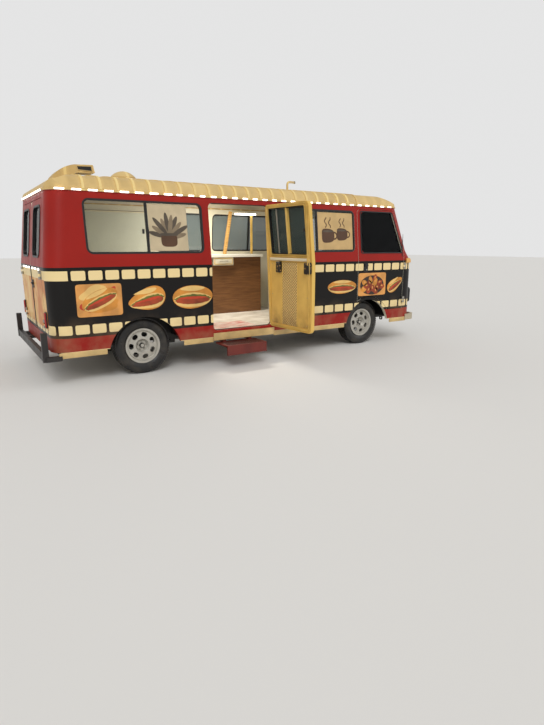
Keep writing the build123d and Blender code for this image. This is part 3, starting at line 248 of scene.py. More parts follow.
def van_paint(name, door_hinge=None):
    """The van's red paint with its film strip. A door that stands open is painted along y."""
    finish = Finish(name, RED, 0.28)
    x, y, z = finish.coords()
    normal_x, normal_y = finish.coords("Normal")[:2]
    van_x = finish.calc("SUBTRACT", x, REAR_X)
    van_y = finish.calc("SUBTRACT", y, MID_Y)
    on_end = finish.calc("GREATER_THAN", finish.calc("ABSOLUTE", normal_x), 0.6)
    if door_hinge:
        along = finish.calc("ADD", van_y, door_hinge[0] - door_hinge[1])
    else:
        along = finish.calc(
            "ADD",
            finish.calc("MULTIPLY", van_x, finish.calc("SUBTRACT", 1.0, on_end)),
            finish.calc("MULTIPLY", finish.calc("ADD", van_y, HALF_WIDTH), on_end),
        )
    ahead = finish.calc("GREATER_THAN", along, STRIP_CHANGE_X)
    first, pitch = (
        finish.calc("ADD", finish.calc("MULTIPLY", ahead, front - rear), rear)
        for rear, front in zip(REAR_STRIP, FRONT_STRIP)
    )
    width = finish.calc("ADD", finish.calc("MULTIPLY", ahead, FRONT_SQUARE_EXTRA), SQUARE_SIZE[0])
    squares = finish.calc(
        "MAXIMUM",
        *(square_mask(finish, along, z, width, first, pitch, row) for row in SQUARE_ROWS),
    )
    corner = finish.calc(
        "MULTIPLY",
        finish.calc("LESS_THAN", van_x, CORNER_BAR_X),
        finish.between(z, SQUARE_ROWS[0] - SQUARE_SIZE[1] / 2, SQUARE_ROWS[0] + SQUARE_SIZE[1] / 2),
    )
    squares = finish.calc("MAXIMUM", squares, corner)
    band = finish.between(z, *BAND_Z)
    sill = finish.between(z, *SILL_TRIM_Z)
    patch = finish.ramp(finish.noise(2.5, 4.0), 0.3, 0.7)
    red = finish.blend(patch, tuple(c * 0.86 for c in RED), RED)
    colour = finish.blend(band, red, BAND_BLACK)
    colour = finish.blend(squares, colour, CREAM)
    if not door_hinge:
        tail = finish.calc("MULTIPLY", on_end, finish.calc("LESS_THAN", van_x, 0.3))
        print_area = finish.calc("MULTIPLY", finish.between(z, *PRINT_AREA_Z), tail)
        inboard = finish.calc("LESS_THAN", finish.calc("ABSOLUTE", van_y), PRINT_AREA_Y)
        print_area = finish.calc("MULTIPLY", print_area, inboard)
        swirl = finish.ramp(finish.noise(3.2, 2.5), 0.42, 0.6)
        warm = finish.blend(swirl, srgb(232, 190, 118), srgb(206, 128, 58))
        colour = finish.blend(print_area, colour, warm)
        side_sill = finish.calc("MULTIPLY", sill, finish.calc("SUBTRACT", 1.0, on_end))
        colour = finish.blend(side_sill, colour, CREAM)
        outward_y = finish.calc("MULTIPLY", normal_y, finish.calc("SIGN", van_y))
        outward_x = finish.calc(
            "MULTIPLY",
            normal_x,
            finish.calc("SIGN", finish.calc("SUBTRACT", van_x, BODY_LENGTH / 2)),
        )
        facing = finish.calc("ADD", outward_x, outward_y)
        inside = finish.calc("LESS_THAN", facing, -0.3)
        colour = finish.blend(inside, colour, LINING)
    else:
        inside = finish.calc("LESS_THAN", normal_x, 0.6)
        colour = finish.blend(inside, colour, DOOR_CREAM)
    low = finish.ramp(z, 0.75, 0.36)
    dust = finish.calc("MULTIPLY", low, finish.ramp(finish.noise(5.0, 6.0), 0.42, 0.75))
    dust = finish.calc("MULTIPLY", dust, 0.55)
    finish.put("Base Color", finish.blend(dust, colour, srgb(150, 122, 92)))
    finish.put("Roughness", finish.ramp(finish.noise(7.0, 5.0), -0.9, 2.4))
    finish.put("Specular IOR Level", 0.22)
    finish.put("Coat Weight", 0.1)
    finish.put("Coat Roughness", 0.12)
    finish.bump(finish.noise(9.0, 2.0), 0.0012)
    return finish


def roof_finish():
    """Faded tan paint, painted shade between the ribs, a painted highlight on each, pale inside."""
    finish = Finish("roof_tan_paint", ROOF_TAN, 0.45)
    x = finish.coords()[0]
    normal_z = finish.coords("Normal")[2]
    van_x = finish.calc("SUBTRACT", x, REAR_X + RIB_FIRST_X - RIB_PITCH / 2)
    cell = finish.calc("FRACT", finish.calc("DIVIDE", van_x, RIB_PITCH))
    off_rib = finish.calc("ABSOLUTE", finish.calc("SUBTRACT", cell, 0.5))
    # Painted shade: the tan darkens away from the ribs, in patches
    valley_painted_shade = finish.calc("MULTIPLY", finish.ramp(off_rib, 0.1, 0.3), 0.5)
    valley_painted_shade = finish.calc("MULTIPLY", valley_painted_shade, finish.ramp(finish.noise(5.0, 5.0), 0.1, 0.7))
    colour = finish.blend(valley_painted_shade, ROOF_TAN, srgb(146, 118, 70))
    # Painted highlight: a pale line along each rib
    rib_painted_highlight = finish.calc("LESS_THAN", off_rib, 0.5 * RIB_WIDTH / RIB_PITCH)
    rib_painted_highlight = finish.calc("MULTIPLY", rib_painted_highlight, finish.between(van_x, 0.0, RIB_COUNT * RIB_PITCH))
    colour = finish.blend(finish.calc("MULTIPLY", rib_painted_highlight, 0.75), colour, srgb(244, 220, 148))
    colour = finish.blend(
        finish.ramp(finish.noise(1.6, 6.0), 0.35, 0.75), colour, srgb(220, 190, 126)
    )
    under = finish.calc("LESS_THAN", normal_z, -0.2)
    finish.put("Base Color", finish.blend(under, colour, LINING))
    finish.put("Roughness", finish.ramp(finish.noise(8.0, 5.0), -0.6, 1.6))
    finish.bump(finish.noise(28.0, 3.0), 0.0015)
    return finish


def glass_finish(name, tint, density):
    """Tinted glass, clear face on and glossy at a glance."""
    finish = Finish(name, tint, 0.03)
    weight = finish.nodes.new("ShaderNodeLayerWeight")
    weight.inputs["Blend"].default_value = 0.35
    finish.put("Alpha", finish.ramp(weight.outputs["Fresnel"], -density, 0.75))
    finish.put("Specular IOR Level", 0.9)
    return finish


def lamp_finish(name, colour, strength):
    """A cover that glows by itself."""
    finish = Finish(name, colour, 0.3)
    finish.put("Emission Color", (*colour, 1.0))
    finish.put("Emission Strength", strength)
    return finish


def wood_finish(name, light, dark):
    """Varnished board with its grain along x."""
    finish = Finish(name, light, 0.5)
    grain = finish.noise(14.0, 6.0, (0.35, 6.0, 6.0))
    finish.put("Base Color", finish.blend(finish.ramp(grain, 0.3, 0.7), dark, light))
    finish.bump(grain, 0.0006)
    return finish


def door_panel_finish():
    """The open door's inner board: cream, a strip of small lozenges, painted shade at the foot."""
    finish = plain_finish("door_panel_cream", DOOR_CREAM, 0.5, mottle=0.06)
    y, z = finish.coords()[1:]
    along = finish.calc("SUBTRACT", MID_Y + DOOR_HINGE[1], y)
    strip = finish.between(along, *LOZENGE_STRIP)
    lines = []
    for operation in ("ADD", "SUBTRACT"):
        cell = finish.calc("DIVIDE", finish.calc(operation, along, z), LOZENGE_PITCH)
        lines.append(finish.calc("LESS_THAN", finish.calc("FRACT", cell), 0.26))
    lattice = finish.calc("MULTIPLY", finish.calc("MAXIMUM", *lines), strip)
    patch = finish.ramp(finish.noise(5.0, 5.0), 0.3, 0.7)
    colour = finish.blend(patch, srgb(206, 164, 84), DOOR_CREAM)
    colour = finish.blend(strip, colour, srgb(232, 200, 130))
    colour = finish.blend(lattice, colour, srgb(132, 94, 46))
    # Painted shade: darker brown in patches towards the board's foot
    foot_shade_patches = finish.ramp(finish.noise(9.0, 6.0), 0.35, 0.7)
    foot = finish.calc("MULTIPLY", finish.ramp(z, 0.72, 0.5), foot_shade_patches)
    foot = finish.calc("MULTIPLY", foot, 0.75)
    finish.put("Base Color", finish.blend(foot, colour, srgb(104, 74, 42)))
    finish.bump(lattice, 0.0012)
    return finish


def worn_box_finish():
    """Black paint chipped to the cream below it."""
    black = srgb(28, 25, 24)
    finish = plain_finish("worn_black", black, 0.5)
    chips = finish.calc("GREATER_THAN", finish.noise(46.0, 5.0), 0.63)
    finish.put("Base Color", finish.blend(chips, black, srgb(176, 138, 78)))
    return finish


def tyre_finish():
    """Rubber with dust in patches."""
    finish = plain_finish("tyre_rubber", srgb(34, 33, 32), 0.85, grain=140.0, depth=0.0006)
    dust = finish.ramp(finish.noise(9.0, 6.0), 0.45, 0.8)
    finish.put("Base Color", finish.blend(dust, srgb(30, 29, 29), srgb(66, 60, 52)))
    return finish


def floor_finish():
    """Whitish sheet flooring, trodden pink and grey by the doorway."""
    finish = plain_finish("floor_vinyl", srgb(222, 214, 200), 0.5, mottle=0.06)
    x, y = finish.coords()[:2]
    by_door = finish.calc("LESS_THAN", finish.calc("SUBTRACT", y, MID_Y), -0.4)
    trodden = finish.between(finish.calc("SUBTRACT", x, REAR_X), 1.92, 2.52)
    streaks = finish.ramp(finish.noise(7.0, 6.0, (1.0, 5.0, 1.0)), 0.4, 0.62)
    worn = finish.calc("MULTIPLY", finish.calc("MULTIPLY", by_door, trodden), streaks)
    patch = finish.ramp(finish.noise(6.0, 5.0), 0.35, 0.65)
    colour = finish.blend(patch, srgb(196, 186, 170), srgb(226, 219, 206))
    finish.put("Base Color", finish.blend(worn, colour, srgb(196, 112, 100)))
    return finish


van_red = van_paint("van_film_paint")
door_paint = van_paint("open_door_paint", DOOR_HINGE)
roof_tan = roof_finish()
glass = glass_finish("window_glass", srgb(96, 108, 104), 0.1)
dark_glass = glass_finish("cab_glass", srgb(26, 28, 30), 0.05)
rubber = plain_finish("seal_rubber", srgb(24, 24, 25), 0.72, grain=90.0, depth=0.0004)
tyre_rubber = tyre_finish()
lining = plain_finish("wall_lining", LINING, 0.5)
cream_paint = plain_finish("door_cream_paint", DOOR_CREAM, 0.38)
black_plastic = plain_finish("black_plastic", srgb(24, 23, 23), 0.5, depth=0.0003)
frame_black = plain_finish("frame_black_paint", srgb(34, 32, 31), 0.6, grain=30.0, depth=0.0006)
bare_steel = plain_finish("worn_steel", srgb(176, 172, 162), 0.38, 0.9, mottle=0.08)
rim_silver = plain_finish("rim_silver", srgb(196, 192, 182), 0.36, 0.55, mottle=0.08)
cast_grey = plain_finish("cast_grey", srgb(84, 80, 74), 0.7, 0.4, grain=40.0, depth=0.001)
# The step's dark red, well below the body's red, is painted shade
painted_shade_step_paint = plain_finish("step_paint_with_painted_shade", srgb(112, 38, 28), 0.5)
step_dark = plain_finish("step_ridge", srgb(70, 28, 22), 0.6)
chrome = plain_finish("lamp_chrome", srgb(206, 206, 204), 0.16, 1.0, mottle=0.03)
mirror_dish = plain_finish("lamp_reflector", srgb(222, 222, 220), 0.12, 1.0, 120.0, 0.02)
bumper_pale = plain_finish("front_bumper_paint", srgb(188, 176, 150), 0.45, 0.2, mottle=0.1)
bumper_black = plain_finish("rear_bumper_paint", srgb(44, 40, 38), 0.5, mottle=0.14)
pale_bar = plain_finish("pale_rail", srgb(228, 216, 186), 0.4, mottle=0.05)
sill_cream = plain_finish("sill_cream_paint", srgb(216, 184, 124), 0.45, mottle=0.14)
roof_plain = plain_finish("roof_plain_paint", srgb(206, 176, 118), 0.5)
poster_beige = plain_finish("poster_beige", srgb(202, 184, 150), 0.6, mottle=0.08)
poster_beige_edge = plain_finish("poster_beige_edge", srgb(216, 200, 168), 0.6, mottle=0.04)
poster_sand = plain_finish("poster_sand", srgb(206, 172, 116), 0.6, mottle=0.08)
poster_grey = plain_finish("poster_grey", srgb(92, 80, 66), 0.6, mottle=0.2)
poster_ash = plain_finish("poster_ash", srgb(142, 124, 98), 0.6, mottle=0.16)
poster_brown = plain_finish("poster_brown", srgb(86, 56, 34), 0.6, mottle=0.12)
far_glass = glass_finish("far_side_glass", srgb(112, 124, 122), 1.6)
blind_grey = plain_finish("blind_cloth", srgb(206, 208, 192), 0.8, grain=200.0, mottle=0.03)
white_board = plain_finish("white_worktop", srgb(236, 232, 220), 0.35, mottle=0.03)
wood_brown = wood_finish("brown_panel", srgb(136, 92, 52), srgb(98, 62, 34))
wood_pale = wood_finish("pale_timber", srgb(206, 164, 96), srgb(168, 124, 66))
floor_vinyl = floor_finish()
door_panel = door_panel_finish()
worn_black = worn_box_finish()
led_white = lamp_finish("light_module", (1.0, 0.93, 0.86), 3.0)
lamp_white = lamp_finish("ceiling_lamp_glow", (1.0, 0.98, 0.92), 4.0)
amber = plain_finish("amber_lens", srgb(230, 176, 100), 0.2, mottle=0.04)
red_lens = plain_finish("red_lens", srgb(170, 24, 18), 0.2, mottle=0.04)
lamp_glass = glass_finish("lamp_glass", srgb(214, 216, 210), 0.2)
seat_cloth = plain_finish("seat_cloth", srgb(54, 52, 52), 0.9, grain=260.0, depth=0.0008)

NODE_FINISHES = {
    van_red: (
        "side_panel_right", "side_panel_left", "rear_frame", "front_frame",
        "rear_door_left", "rear_door_right", "front_door_left", "front_door_right",
    ),
    door_paint: ("side_door",),
    roof_tan: ("roof", "roof_fittings"),
    glass: ("side_glass_right", "side_door_glass", "windscreen"),
    far_glass: ("side_glass_left",),
    dark_glass: ("front_door_glass_left", "front_door_glass_right", "rear_door_glass_left",
                 "rear_door_glass_right"),
    rubber: ("window_frames",),
    tyre_rubber: ("tyre_front_left", "tyre_front_right", "tyre_rear_left", "tyre_rear_right"),
    rim_silver: ("wheel_front_left", "wheel_front_right", "wheel_rear_left", "wheel_rear_right"),
    frame_black: ("chassis_frame", "rear_axle", "rear_springs", "front_suspension", "fuel_tank",
                  "wheel_housings"),
    cast_grey: ("engine", "knuckle_left", "knuckle_right", "drive_shafts"),
    black_plastic: ("headlamp_bezels", "grille", "engine_cover", "dashboard", "steering_wheel"),
    worn_black: ("side_door_handles",),
    bumper_pale: ("front_bumper",),
    bumper_black: ("rear_bumper",),
    bare_steel: ("exhaust", "door_hinges"),
    painted_shade_step_paint: ("side_step",),
    floor_vinyl: ("floor",),
    white_board: ("worktop",),
    wood_brown: ("counter_panel",),
    door_panel: ("side_door_trim",),
    led_white: ("light_modules",),
    amber: ("indicators",),
    red_lens: ("tail_lamps",),
    lamp_glass: ("headlamp_lenses",),
    seat_cloth: ("seats",),
}
for finish, names in NODE_FINISHES.items():
    for name in names:
        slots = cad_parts[name].data.materials
        slots.clear()
        slots.append(finish.material)


SHARP_ANGLE = math.radians(38)


class Piece:
    """A piece of the van being modelled: its mesh, its finishes and the body it rides on."""

    def __init__(self, name, body, slot, *finishes):
        self.name = name
        self.body = body
        self.slot = slot
        self.finishes = finishes
        self.shape = bmesh.new()

    def mark(self, before, finish):
        """Gives the new faces their finish, the piece's first if none is named."""
        index = self.finishes.index(finish) if finish else 0
        for face in self.shape.faces:
            if face not in before:
                face.material_index = index

    def thicken(self, before, move):
        """Raises the new flat faces into a plate."""
        faces = [face for face in self.shape.faces if face not in before]
        made = bmesh.ops.extrude_face_region(self.shape, geom=faces)["geom"]
        raised = [item for item in made if isinstance(item, bmesh.types.BMVert)]
        bmesh.ops.translate(self.shape, vec=move, verts=raised)

    def block(self, low, high, round_by=0.0, finish=None, turn=None):
        """A block between two corners, its edges rounded."""
        before = set(self.shape.faces)
        verts = bmesh.ops.create_cube(self.shape, size=1.0)["verts"]
        low, high = Vector(low), Vector(high)
        bmesh.ops.scale(self.shape, vec=high - low, verts=verts)
        bmesh.ops.translate(self.shape, vec=(high + low) / 2, verts=verts)
        if turn:
            middle, matrix = turn
            bmesh.ops.rotate(self.shape, cent=middle, matrix=matrix, verts=verts)
        if round_by:
            edges = {edge for vert in verts for edge in vert.link_edges}
            bmesh.ops.bevel(
                self.shape, geom=list(edges), offset=round_by, offset_type="OFFSET", segments=3,
                profile=0.5, affect="EDGES", material=-1,
            )
        self.mark(before, finish)

    def rod(self, start, end, radius, end_radius=None, sides=24, finish=None):
        """A round bar or cone from one point to another."""
        before = set(self.shape.faces)
        start, end = Vector(start), Vector(end)
        turn = (end - start).to_track_quat("Z", "Y").to_matrix().to_4x4()
        bmesh.ops.create_cone(
            self.shape, cap_ends=True, segments=sides, radius1=radius,
            radius2=radius if end_radius is None else end_radius, depth=(end - start).length,
            matrix=Matrix.Translation((start + end) / 2) @ turn,
        )
        self.mark(before, finish)

    def patch(self, centre, across, up, radii, finish=None, thickness=0.0006, tilt=0.0,
              waves=((0, 0.0, 0.0),), sides=44, flat=1.0, taper=0.0):
        """A thin blob on a wall: an ellipse whose rim is drawn in and out by a few waves."""
        before = set(self.shape.faces)
        across, up = Vector(across).normalized(), Vector(up).normalized()
        out = across.cross(up)
        made = bmesh.ops.create_circle(self.shape, cap_ends=True, segments=sides, radius=1.0)
        for vert in made["verts"]:
            angle = math.atan2(vert.co.y, vert.co.x)
            reach = 1.0 + sum(size * math.sin(count * angle + lag) for count, size, lag in waves)
            u = math.copysign(abs(math.cos(angle)) ** flat, math.cos(angle)) * reach * radii[0]
            v = math.copysign(abs(math.sin(angle)) ** flat, math.sin(angle)) * reach * radii[1]
            v *= 1.0 + taper * u / radii[0]
            u, v = u * math.cos(tilt) - v * math.sin(tilt), u * math.sin(tilt) + v * math.cos(tilt)
            vert.co = Vector(centre) + across * u + up * v
        self.thicken(before, out * thickness)
        self.mark(before, finish)

    def ring(self, points, out, width, depth, corner=0.0, finish=None):
        """A flat frame inside a row of points, raised along out; a plate where its width is 0."""
        before = set(self.shape.faces)
        verts = [self.shape.verts.new(Vector(point)) for point in points]
        self.shape.faces.new(verts)
        if corner:
            bmesh.ops.bevel(
                self.shape, geom=verts, offset=corner, offset_type="OFFSET", segments=6,
                profile=0.5, affect="VERTICES", material=-1,
            )
        if width:
            plate = [face for face in self.shape.faces if face not in before]
            bmesh.ops.inset_region(
                self.shape, faces=plate, thickness=width, use_even_offset=True, use_boundary=True,
            )
            bmesh.ops.delete(self.shape, geom=plate, context="FACES_ONLY")
        self.thicken(before, Vector(out) * depth)
        self.mark(before, finish)

    def done(self, replaces=(), side=0, rear=False, turn=None):
        """The finished object: leant with the wall above the belt, and riding on its body."""
        for vert in self.shape.verts:
            rise = max(0.0, vert.co.z - BELT_Z) / (GUTTER_Z - BELT_Z)
            vert.co.y -= side * SIDE_LEAN * rise
            vert.co.x += rear * REAR_LEAN * rise
        if turn:
            bmesh.ops.transform(self.shape, matrix=turn, verts=self.shape.verts)
        bmesh.ops.recalc_face_normals(self.shape, faces=self.shape.faces)
        mesh = bpy.data.meshes.new(self.name)
        self.shape.to_mesh(mesh)
        self.shape.free()
        for finish in self.finishes:
            mesh.materials.append(finish.material)
        mesh.polygons.foreach_set("use_smooth", [True] * len(mesh.polygons))
        mesh.set_sharp_from_angle(angle=SHARP_ANGLE)
        thing = bpy.data.objects.new(self.name, mesh)
        bpy.context.scene.collection.objects.link(thing)
        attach(thing, self.body)
        if replaces:
            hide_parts(*replaces)
        return thing


# Food pictures
bun_crust = plain_finish("bun_crust_print", srgb(226, 150, 58), 0.35, grain=8.0, mottle=0.2)
bun_crumb = plain_finish("bun_crumb_print", srgb(240, 198, 120), 0.35, mottle=0.1)
meat = plain_finish("meat_print", srgb(178, 72, 32), 0.35, grain=20.0, mottle=0.3)
sauce = plain_finish("sauce_print", srgb(206, 66, 34), 0.35, mottle=0.15)
leaf = plain_finish("leaf_print", srgb(116, 120, 44), 0.35, mottle=0.25)
print_ground = plain_finish("orange_print", srgb(232, 162, 84), 0.35, mottle=0.16)
plate_dark = plain_finish("dark_plate_print", srgb(58, 40, 30), 0.35, mottle=0.1)
PRINTS = (bun_crust, bun_crumb, meat, sauce, leaf, print_ground, plate_dark)
LAYER = 0.0004
FRIED_PIECES = 14
GOLDEN_ANGLE = 2.39996


def filled_bun(piece, centre, across, up, length, height, tilt=0.0, taper=0.0):
    """A long bun seen from the side, with its filling; a cut one is higher at one end."""
    out = Vector(across).cross(Vector(up)).normalized()
    lean_up = Vector(across) * -math.sin(tilt) + Vector(up) * math.cos(tilt)
    # Each layer's drop from the middle, its width, height and finish, and the waves of its rim
    layers = (
        (0.0, length, height, bun_crust, ((2, 0.02, 0.4), (3, 0.015, 1.0))),
        (-0.13, length * 0.93, height * 0.62, bun_crumb, ((5, 0.02, 0.2),)),
        (-0.10, length * 0.9, height * 0.42, leaf, ((17, 0.05, 0.6), (9, 0.04, 0.2))),
        (-0.14, length * 0.86, height * 0.33, meat, ((11, 0.03, 0.0),)),
        (-0.04, length * 0.7, height * 0.11, sauce, ((13, 0.16, 0.5),)),
        (0.36, length * 0.6, height * 0.22, bun_crumb, ((4, 0.05, 0.9),)),
    )
    for index, (drop, wide, high, finish, waves) in enumerate(layers):
        middle = Vector(centre) + lean_up * drop * height + out * index * LAYER
        piece.patch(middle, across, up, (wide / 2, high / 2), finish, LAYER, tilt, waves,
                    taper=taper)


def print_panel(piece, low, high, y, across):
    """A rectangular print on the wall, with corners barely rounded."""
    centre = spot((low[0] + high[0]) / 2, y, (low[1] + high[1]) / 2)
    radii = ((high[0] - low[0]) / 2, (high[1] - low[1]) / 2)
    piece.patch(centre, across, UP, radii, print_ground, LAYER, sides=64, flat=0.12)


def fried_plate(piece, middle, across, side):
    """A dark plate with fried pieces set round it in a spiral, each with a glint."""
    piece.patch(middle, across, UP, (0.235, 0.14), plate_dark, LAYER)
    for index in range(FRIED_PIECES):
        turn = index * GOLDEN_ANGLE
        reach = 0.16 * math.sqrt((index + 0.5) / FRIED_PIECES)
        place = middle + Vector(across) * reach * 1.25 * math.cos(turn)
        place += Vector(UP) * reach * 0.7 * math.sin(turn)
        place += Vector((0, side * LAYER * (2 + index % 5), 0))
        piece.patch(place, across, UP, (0.052, 0.04), meat if index % 3 else bun_crust, LAYER,
                    turn, ((2, 0.08, turn), (3, 0.05, 1.0)), 22)
        glint = place + Vector(UP) * 0.012 + Vector((0, side * LAYER, 0))
        piece.patch(glint, across, UP, (0.022, 0.011), print_ground, LAYER, turn, sides=14)


def side_pictures(side):
    """The row of food prints on one side: some on the panel, some on the front door."""
    across = (-side, 0.0, 0.0)
    y = side * (HALF_WIDTH + 0.0003)
    panel = Piece("prints_panel_" + WORDS[side], "body", "body_paint", *PRINTS)
    print_panel(panel, (0.262, 0.72), (0.735, 1.06), y, across)
    for x, z, radii, tilt, finish in (
        (0.44, 0.975, (0.15, 0.06), 0.35, bun_crumb), (0.56, 0.82, (0.15, 0.055), 0.3, bun_crust),
        (0.36, 0.82, (0.07, 0.045), -0.4, sauce), (0.62, 0.96, (0.08, 0.04), 0.8, sauce),
    ):
        panel.patch(spot(x, y + side * LAYER, z), across, UP, radii, finish, LAYER, tilt * -side,
                    ((3, 0.12, x * 9), (5, 0.05, 0.4)))
    filled_bun(panel, spot(0.5, y + side * 2 * LAYER, 0.893), across, UP, 0.4, 0.2, 0.42 * -side)
    filled_bun(panel, spot(1.01, y, 0.872), across, UP, 0.43, 0.24, 0.2 * -side, 0.42 * -side)
    filled_bun(panel, spot(1.56, y, 0.868), across, UP, 0.5, 0.27)
    filled_bun(panel, spot(3.84, y, 0.884), across, UP, 0.52, 0.19)
    panel.done()

    door = Piece("prints_door_" + WORDS[side], "front_door_" + WORDS[side], "body_paint", *PRINTS)
    print_panel(door, (4.142, 0.735), (4.69, 1.062), y, across)
    fried_plate(door, spot(4.415, y + side * LAYER, 0.885), across, side)
    filled_bun(door, spot(4.885, y, 0.88), across, UP, 0.34, 0.17, 0.5 * -side, 0.3 * side)
    door.done()


for side in SIDES:
    side_pictures(side)


# Doors, lamps and trim
def swing(hinge, degrees):
    """The turn of a door that stands open, about its upright hinge line."""
    pin = spot(*hinge, 0.0)
    turn = Matrix.Rotation(math.radians(degrees), 4, "Z")
    return Matrix.Translation(pin) @ turn @ Matrix.Translation(-pin)


def grown(span, margin):
    """A span made longer by a margin at each end."""
    return (span[0] - margin, span[1] + margin)


def wall_outline(x, z, y):
    """The corners of a rectangle on a side wall."""
    return [spot(x[0], y, z[0]), spot(x[1], y, z[0]), spot(x[1], y, z[1]), spot(x[0], y, z[1])]


def end_outline(y, z, x):
    """The corners of a rectangle on the rear or the front."""
    return [spot(x, y[0], z[0]), spot(x, y[1], z[0]), spot(x, y[1], z[1]), spot(x, y[0], z[1])]


def side_door_fittings():
    """What is on the open door, placed as if it were shut and then swung with it."""
    door = Piece("side_door_mouldings", "side_door", "cream_trim", cream_paint, rubber, pale_bar,
                 black_plastic, bare_steel)
    # What each ring runs round, how far outside it, how far back; its width, height and corner
    rings = (
        (DOOR_X, DOOR_Z, -0.03, 0.0, 0.017, 0.009, 0.05, cream_paint),
        (DOOR_X, DOOR_Z, -0.012, -0.001, 0.008, 0.006, 0.055, cream_paint),
        (DOOR_LIGHT_X, DOOR_LIGHT_Z, 0.034, 0.0, 0.013, 0.012, 0.045, cream_paint),
        (DOOR_LIGHT_X, DOOR_LIGHT_Z, 0.013, 0.0, 0.009, 0.02, 0.035, cream_paint),
        (DOOR_LIGHT_X, DOOR_LIGHT_Z, 0.001, -0.024, 0.01, 0.03, 0.026, rubber),
    )
    for x, z, margin, back, width, depth, corner, finish in rings:
        corners = wall_outline(grown(x, margin), grown(z, margin), -INNER_Y + back)
        door.ring(corners, (0.0, 1.0, 0.0), width, depth, corner, finish)
    # Each bar's span along the van, its depths from the inner face, its heights and rounding
    middle = sum(DOOR_LIGHT_X) / 2
    bars = (
        ((1.862, 2.624), (0.0, 0.02), (1.272, 1.306), 0.006, pale_bar),
        ((middle - 0.013, middle + 0.013), (-0.012, 0.01), (1.352, 1.878), 0.004, cream_paint),
        ((2.445, 2.46), (-0.02, -0.006), (1.352, 1.878), 0.002, bare_steel),
        ((1.886, 1.92), (0.0, 0.026), (1.60, 1.636), 0.004, black_plastic),
    )
    for x, depth, z, round_by, finish in bars:
        door.block(spot(x[0], -INNER_Y + depth[0], z[0]), spot(x[1], -INNER_Y + depth[1], z[1]),
                   round_by, finish)
    for x in (1.9, 2.245, 2.59):
        for z in (0.53, 0.86, 1.23):
            door.rod(spot(x, -INNER_Y + 0.004, z), spot(x, -INNER_Y + 0.0085, z), 0.006, 0.004,
                     10, bare_steel)
    for x in (2.09, 2.385):
        door.block(spot(x - 0.004, -INNER_Y + 0.004, 0.52), spot(x + 0.004, -INNER_Y + 0.009, 1.24),
                   0.002, cream_paint)
    outer = wall_outline(grown(DOOR_LIGHT_X, 0.014), grown(DOOR_LIGHT_Z, 0.014), -HALF_WIDTH)
    door.ring(outer, (0.0, -1.0, 0.0), 0.015, 0.006, 0.04, rubber)
    door.block(spot(1.852, -0.99, 1.0), spot(1.876, -0.978, 1.13), 0.004, black_plastic)
    for z in (1.008, 1.122):
        door.rod(spot(1.864, -0.966, z), spot(1.864, -0.982, z), 0.008, finish=black_plastic)
    door.done(side=RIGHT, turn=swing(DOOR_HINGE, DOOR_OPEN))


def front_door_fittings(side):
    """The window's seal, the pull and the lock of a front door."""
    out = (0.0, side, 0.0)
    door = Piece("front_door_fittings_" + WORDS[side], "front_door_" + WORDS[side], "seal", rubber,
                 black_plastic, bare_steel)
    window = ((4.183, 1.338), (5.028, 1.338), (5.028, 1.386), (4.822, 1.927), (4.183, 1.927))
    corners = [spot(x, side * HALF_WIDTH, z) for x, z in window]
    door.ring(corners, out, 0.016, 0.006, 0.035, rubber)
    recess = wall_outline((4.236, 4.318), (1.076, 1.204), side * HALF_WIDTH)
    door.ring(recess, out, 0.0, 0.004, 0.012, black_plastic)
    low, high = sorted((side * 0.969, side * 0.988))
    door.block(spot(4.244, low, 1.158), spot(4.31, high, 1.186), 0.006, black_plastic)
    door.rod(spot(4.29, side * 0.966, 1.11), spot(4.29, side * 0.973, 1.11), 0.011,
             finish=bare_steel)
    door.done(side=side)


def rear_door_fittings(side):
    """Window seal, reveal lined black as painted shade, belt lights, handle and cover strip."""
    door = Piece("rear_door_fittings_" + WORDS[side], "rear_door_" + WORDS[side], "seal", rubber,
                 black_plastic, led_white, bare_steel)
    seal = end_outline((side * 0.134, side * 0.586), (1.324, 1.866), 0.0)
    door.ring(seal, REARWARD, 0.018, 0.007, SEAL_CORNER, rubber)
    # Painted shade: a deep black rubber lining darkens the window's reveal
    reveal_shade_lining = end_outline((side * 0.1505, side * 0.5695), (1.3405, 1.8495), 0.04)
    door.ring(reveal_shade_lining, REARWARD, 0.004, 0.044, SEAL_CORNER - 0.0165, rubber)
    for y in (0.13, 0.33, 0.53):
        low, high = sorted((side * (y - 0.032), side * (y + 0.032)))
        door.block(spot(-0.009, low, 1.196), spot(0.0005, high, 1.216), 0.003, led_white)
    if side == RIGHT:
        door.block(spot(-0.005, -0.125, 0.985), spot(0.0, -0.045, 1.075), 0.004, black_plastic)
        door.block(spot(-0.024, -0.118, 1.028), spot(-0.004, -0.052, 1.046), 0.005, black_plastic)
        door.rod(spot(0.0, -0.085, 1.005), spot(-0.009, -0.085, 1.005), 0.009, finish=bare_steel)
    else:
        door.block(spot(-0.006, -0.014, 0.53), spot(0.001, 0.014, 1.22), 0.002, rubber)
    door.done(rear=True)


def screen_x(z):
    """How far forward the windscreen is at a height."""
    return SCREEN_FOOT[0] - SCREEN_RAKE * (z - SCREEN_FOOT[1])


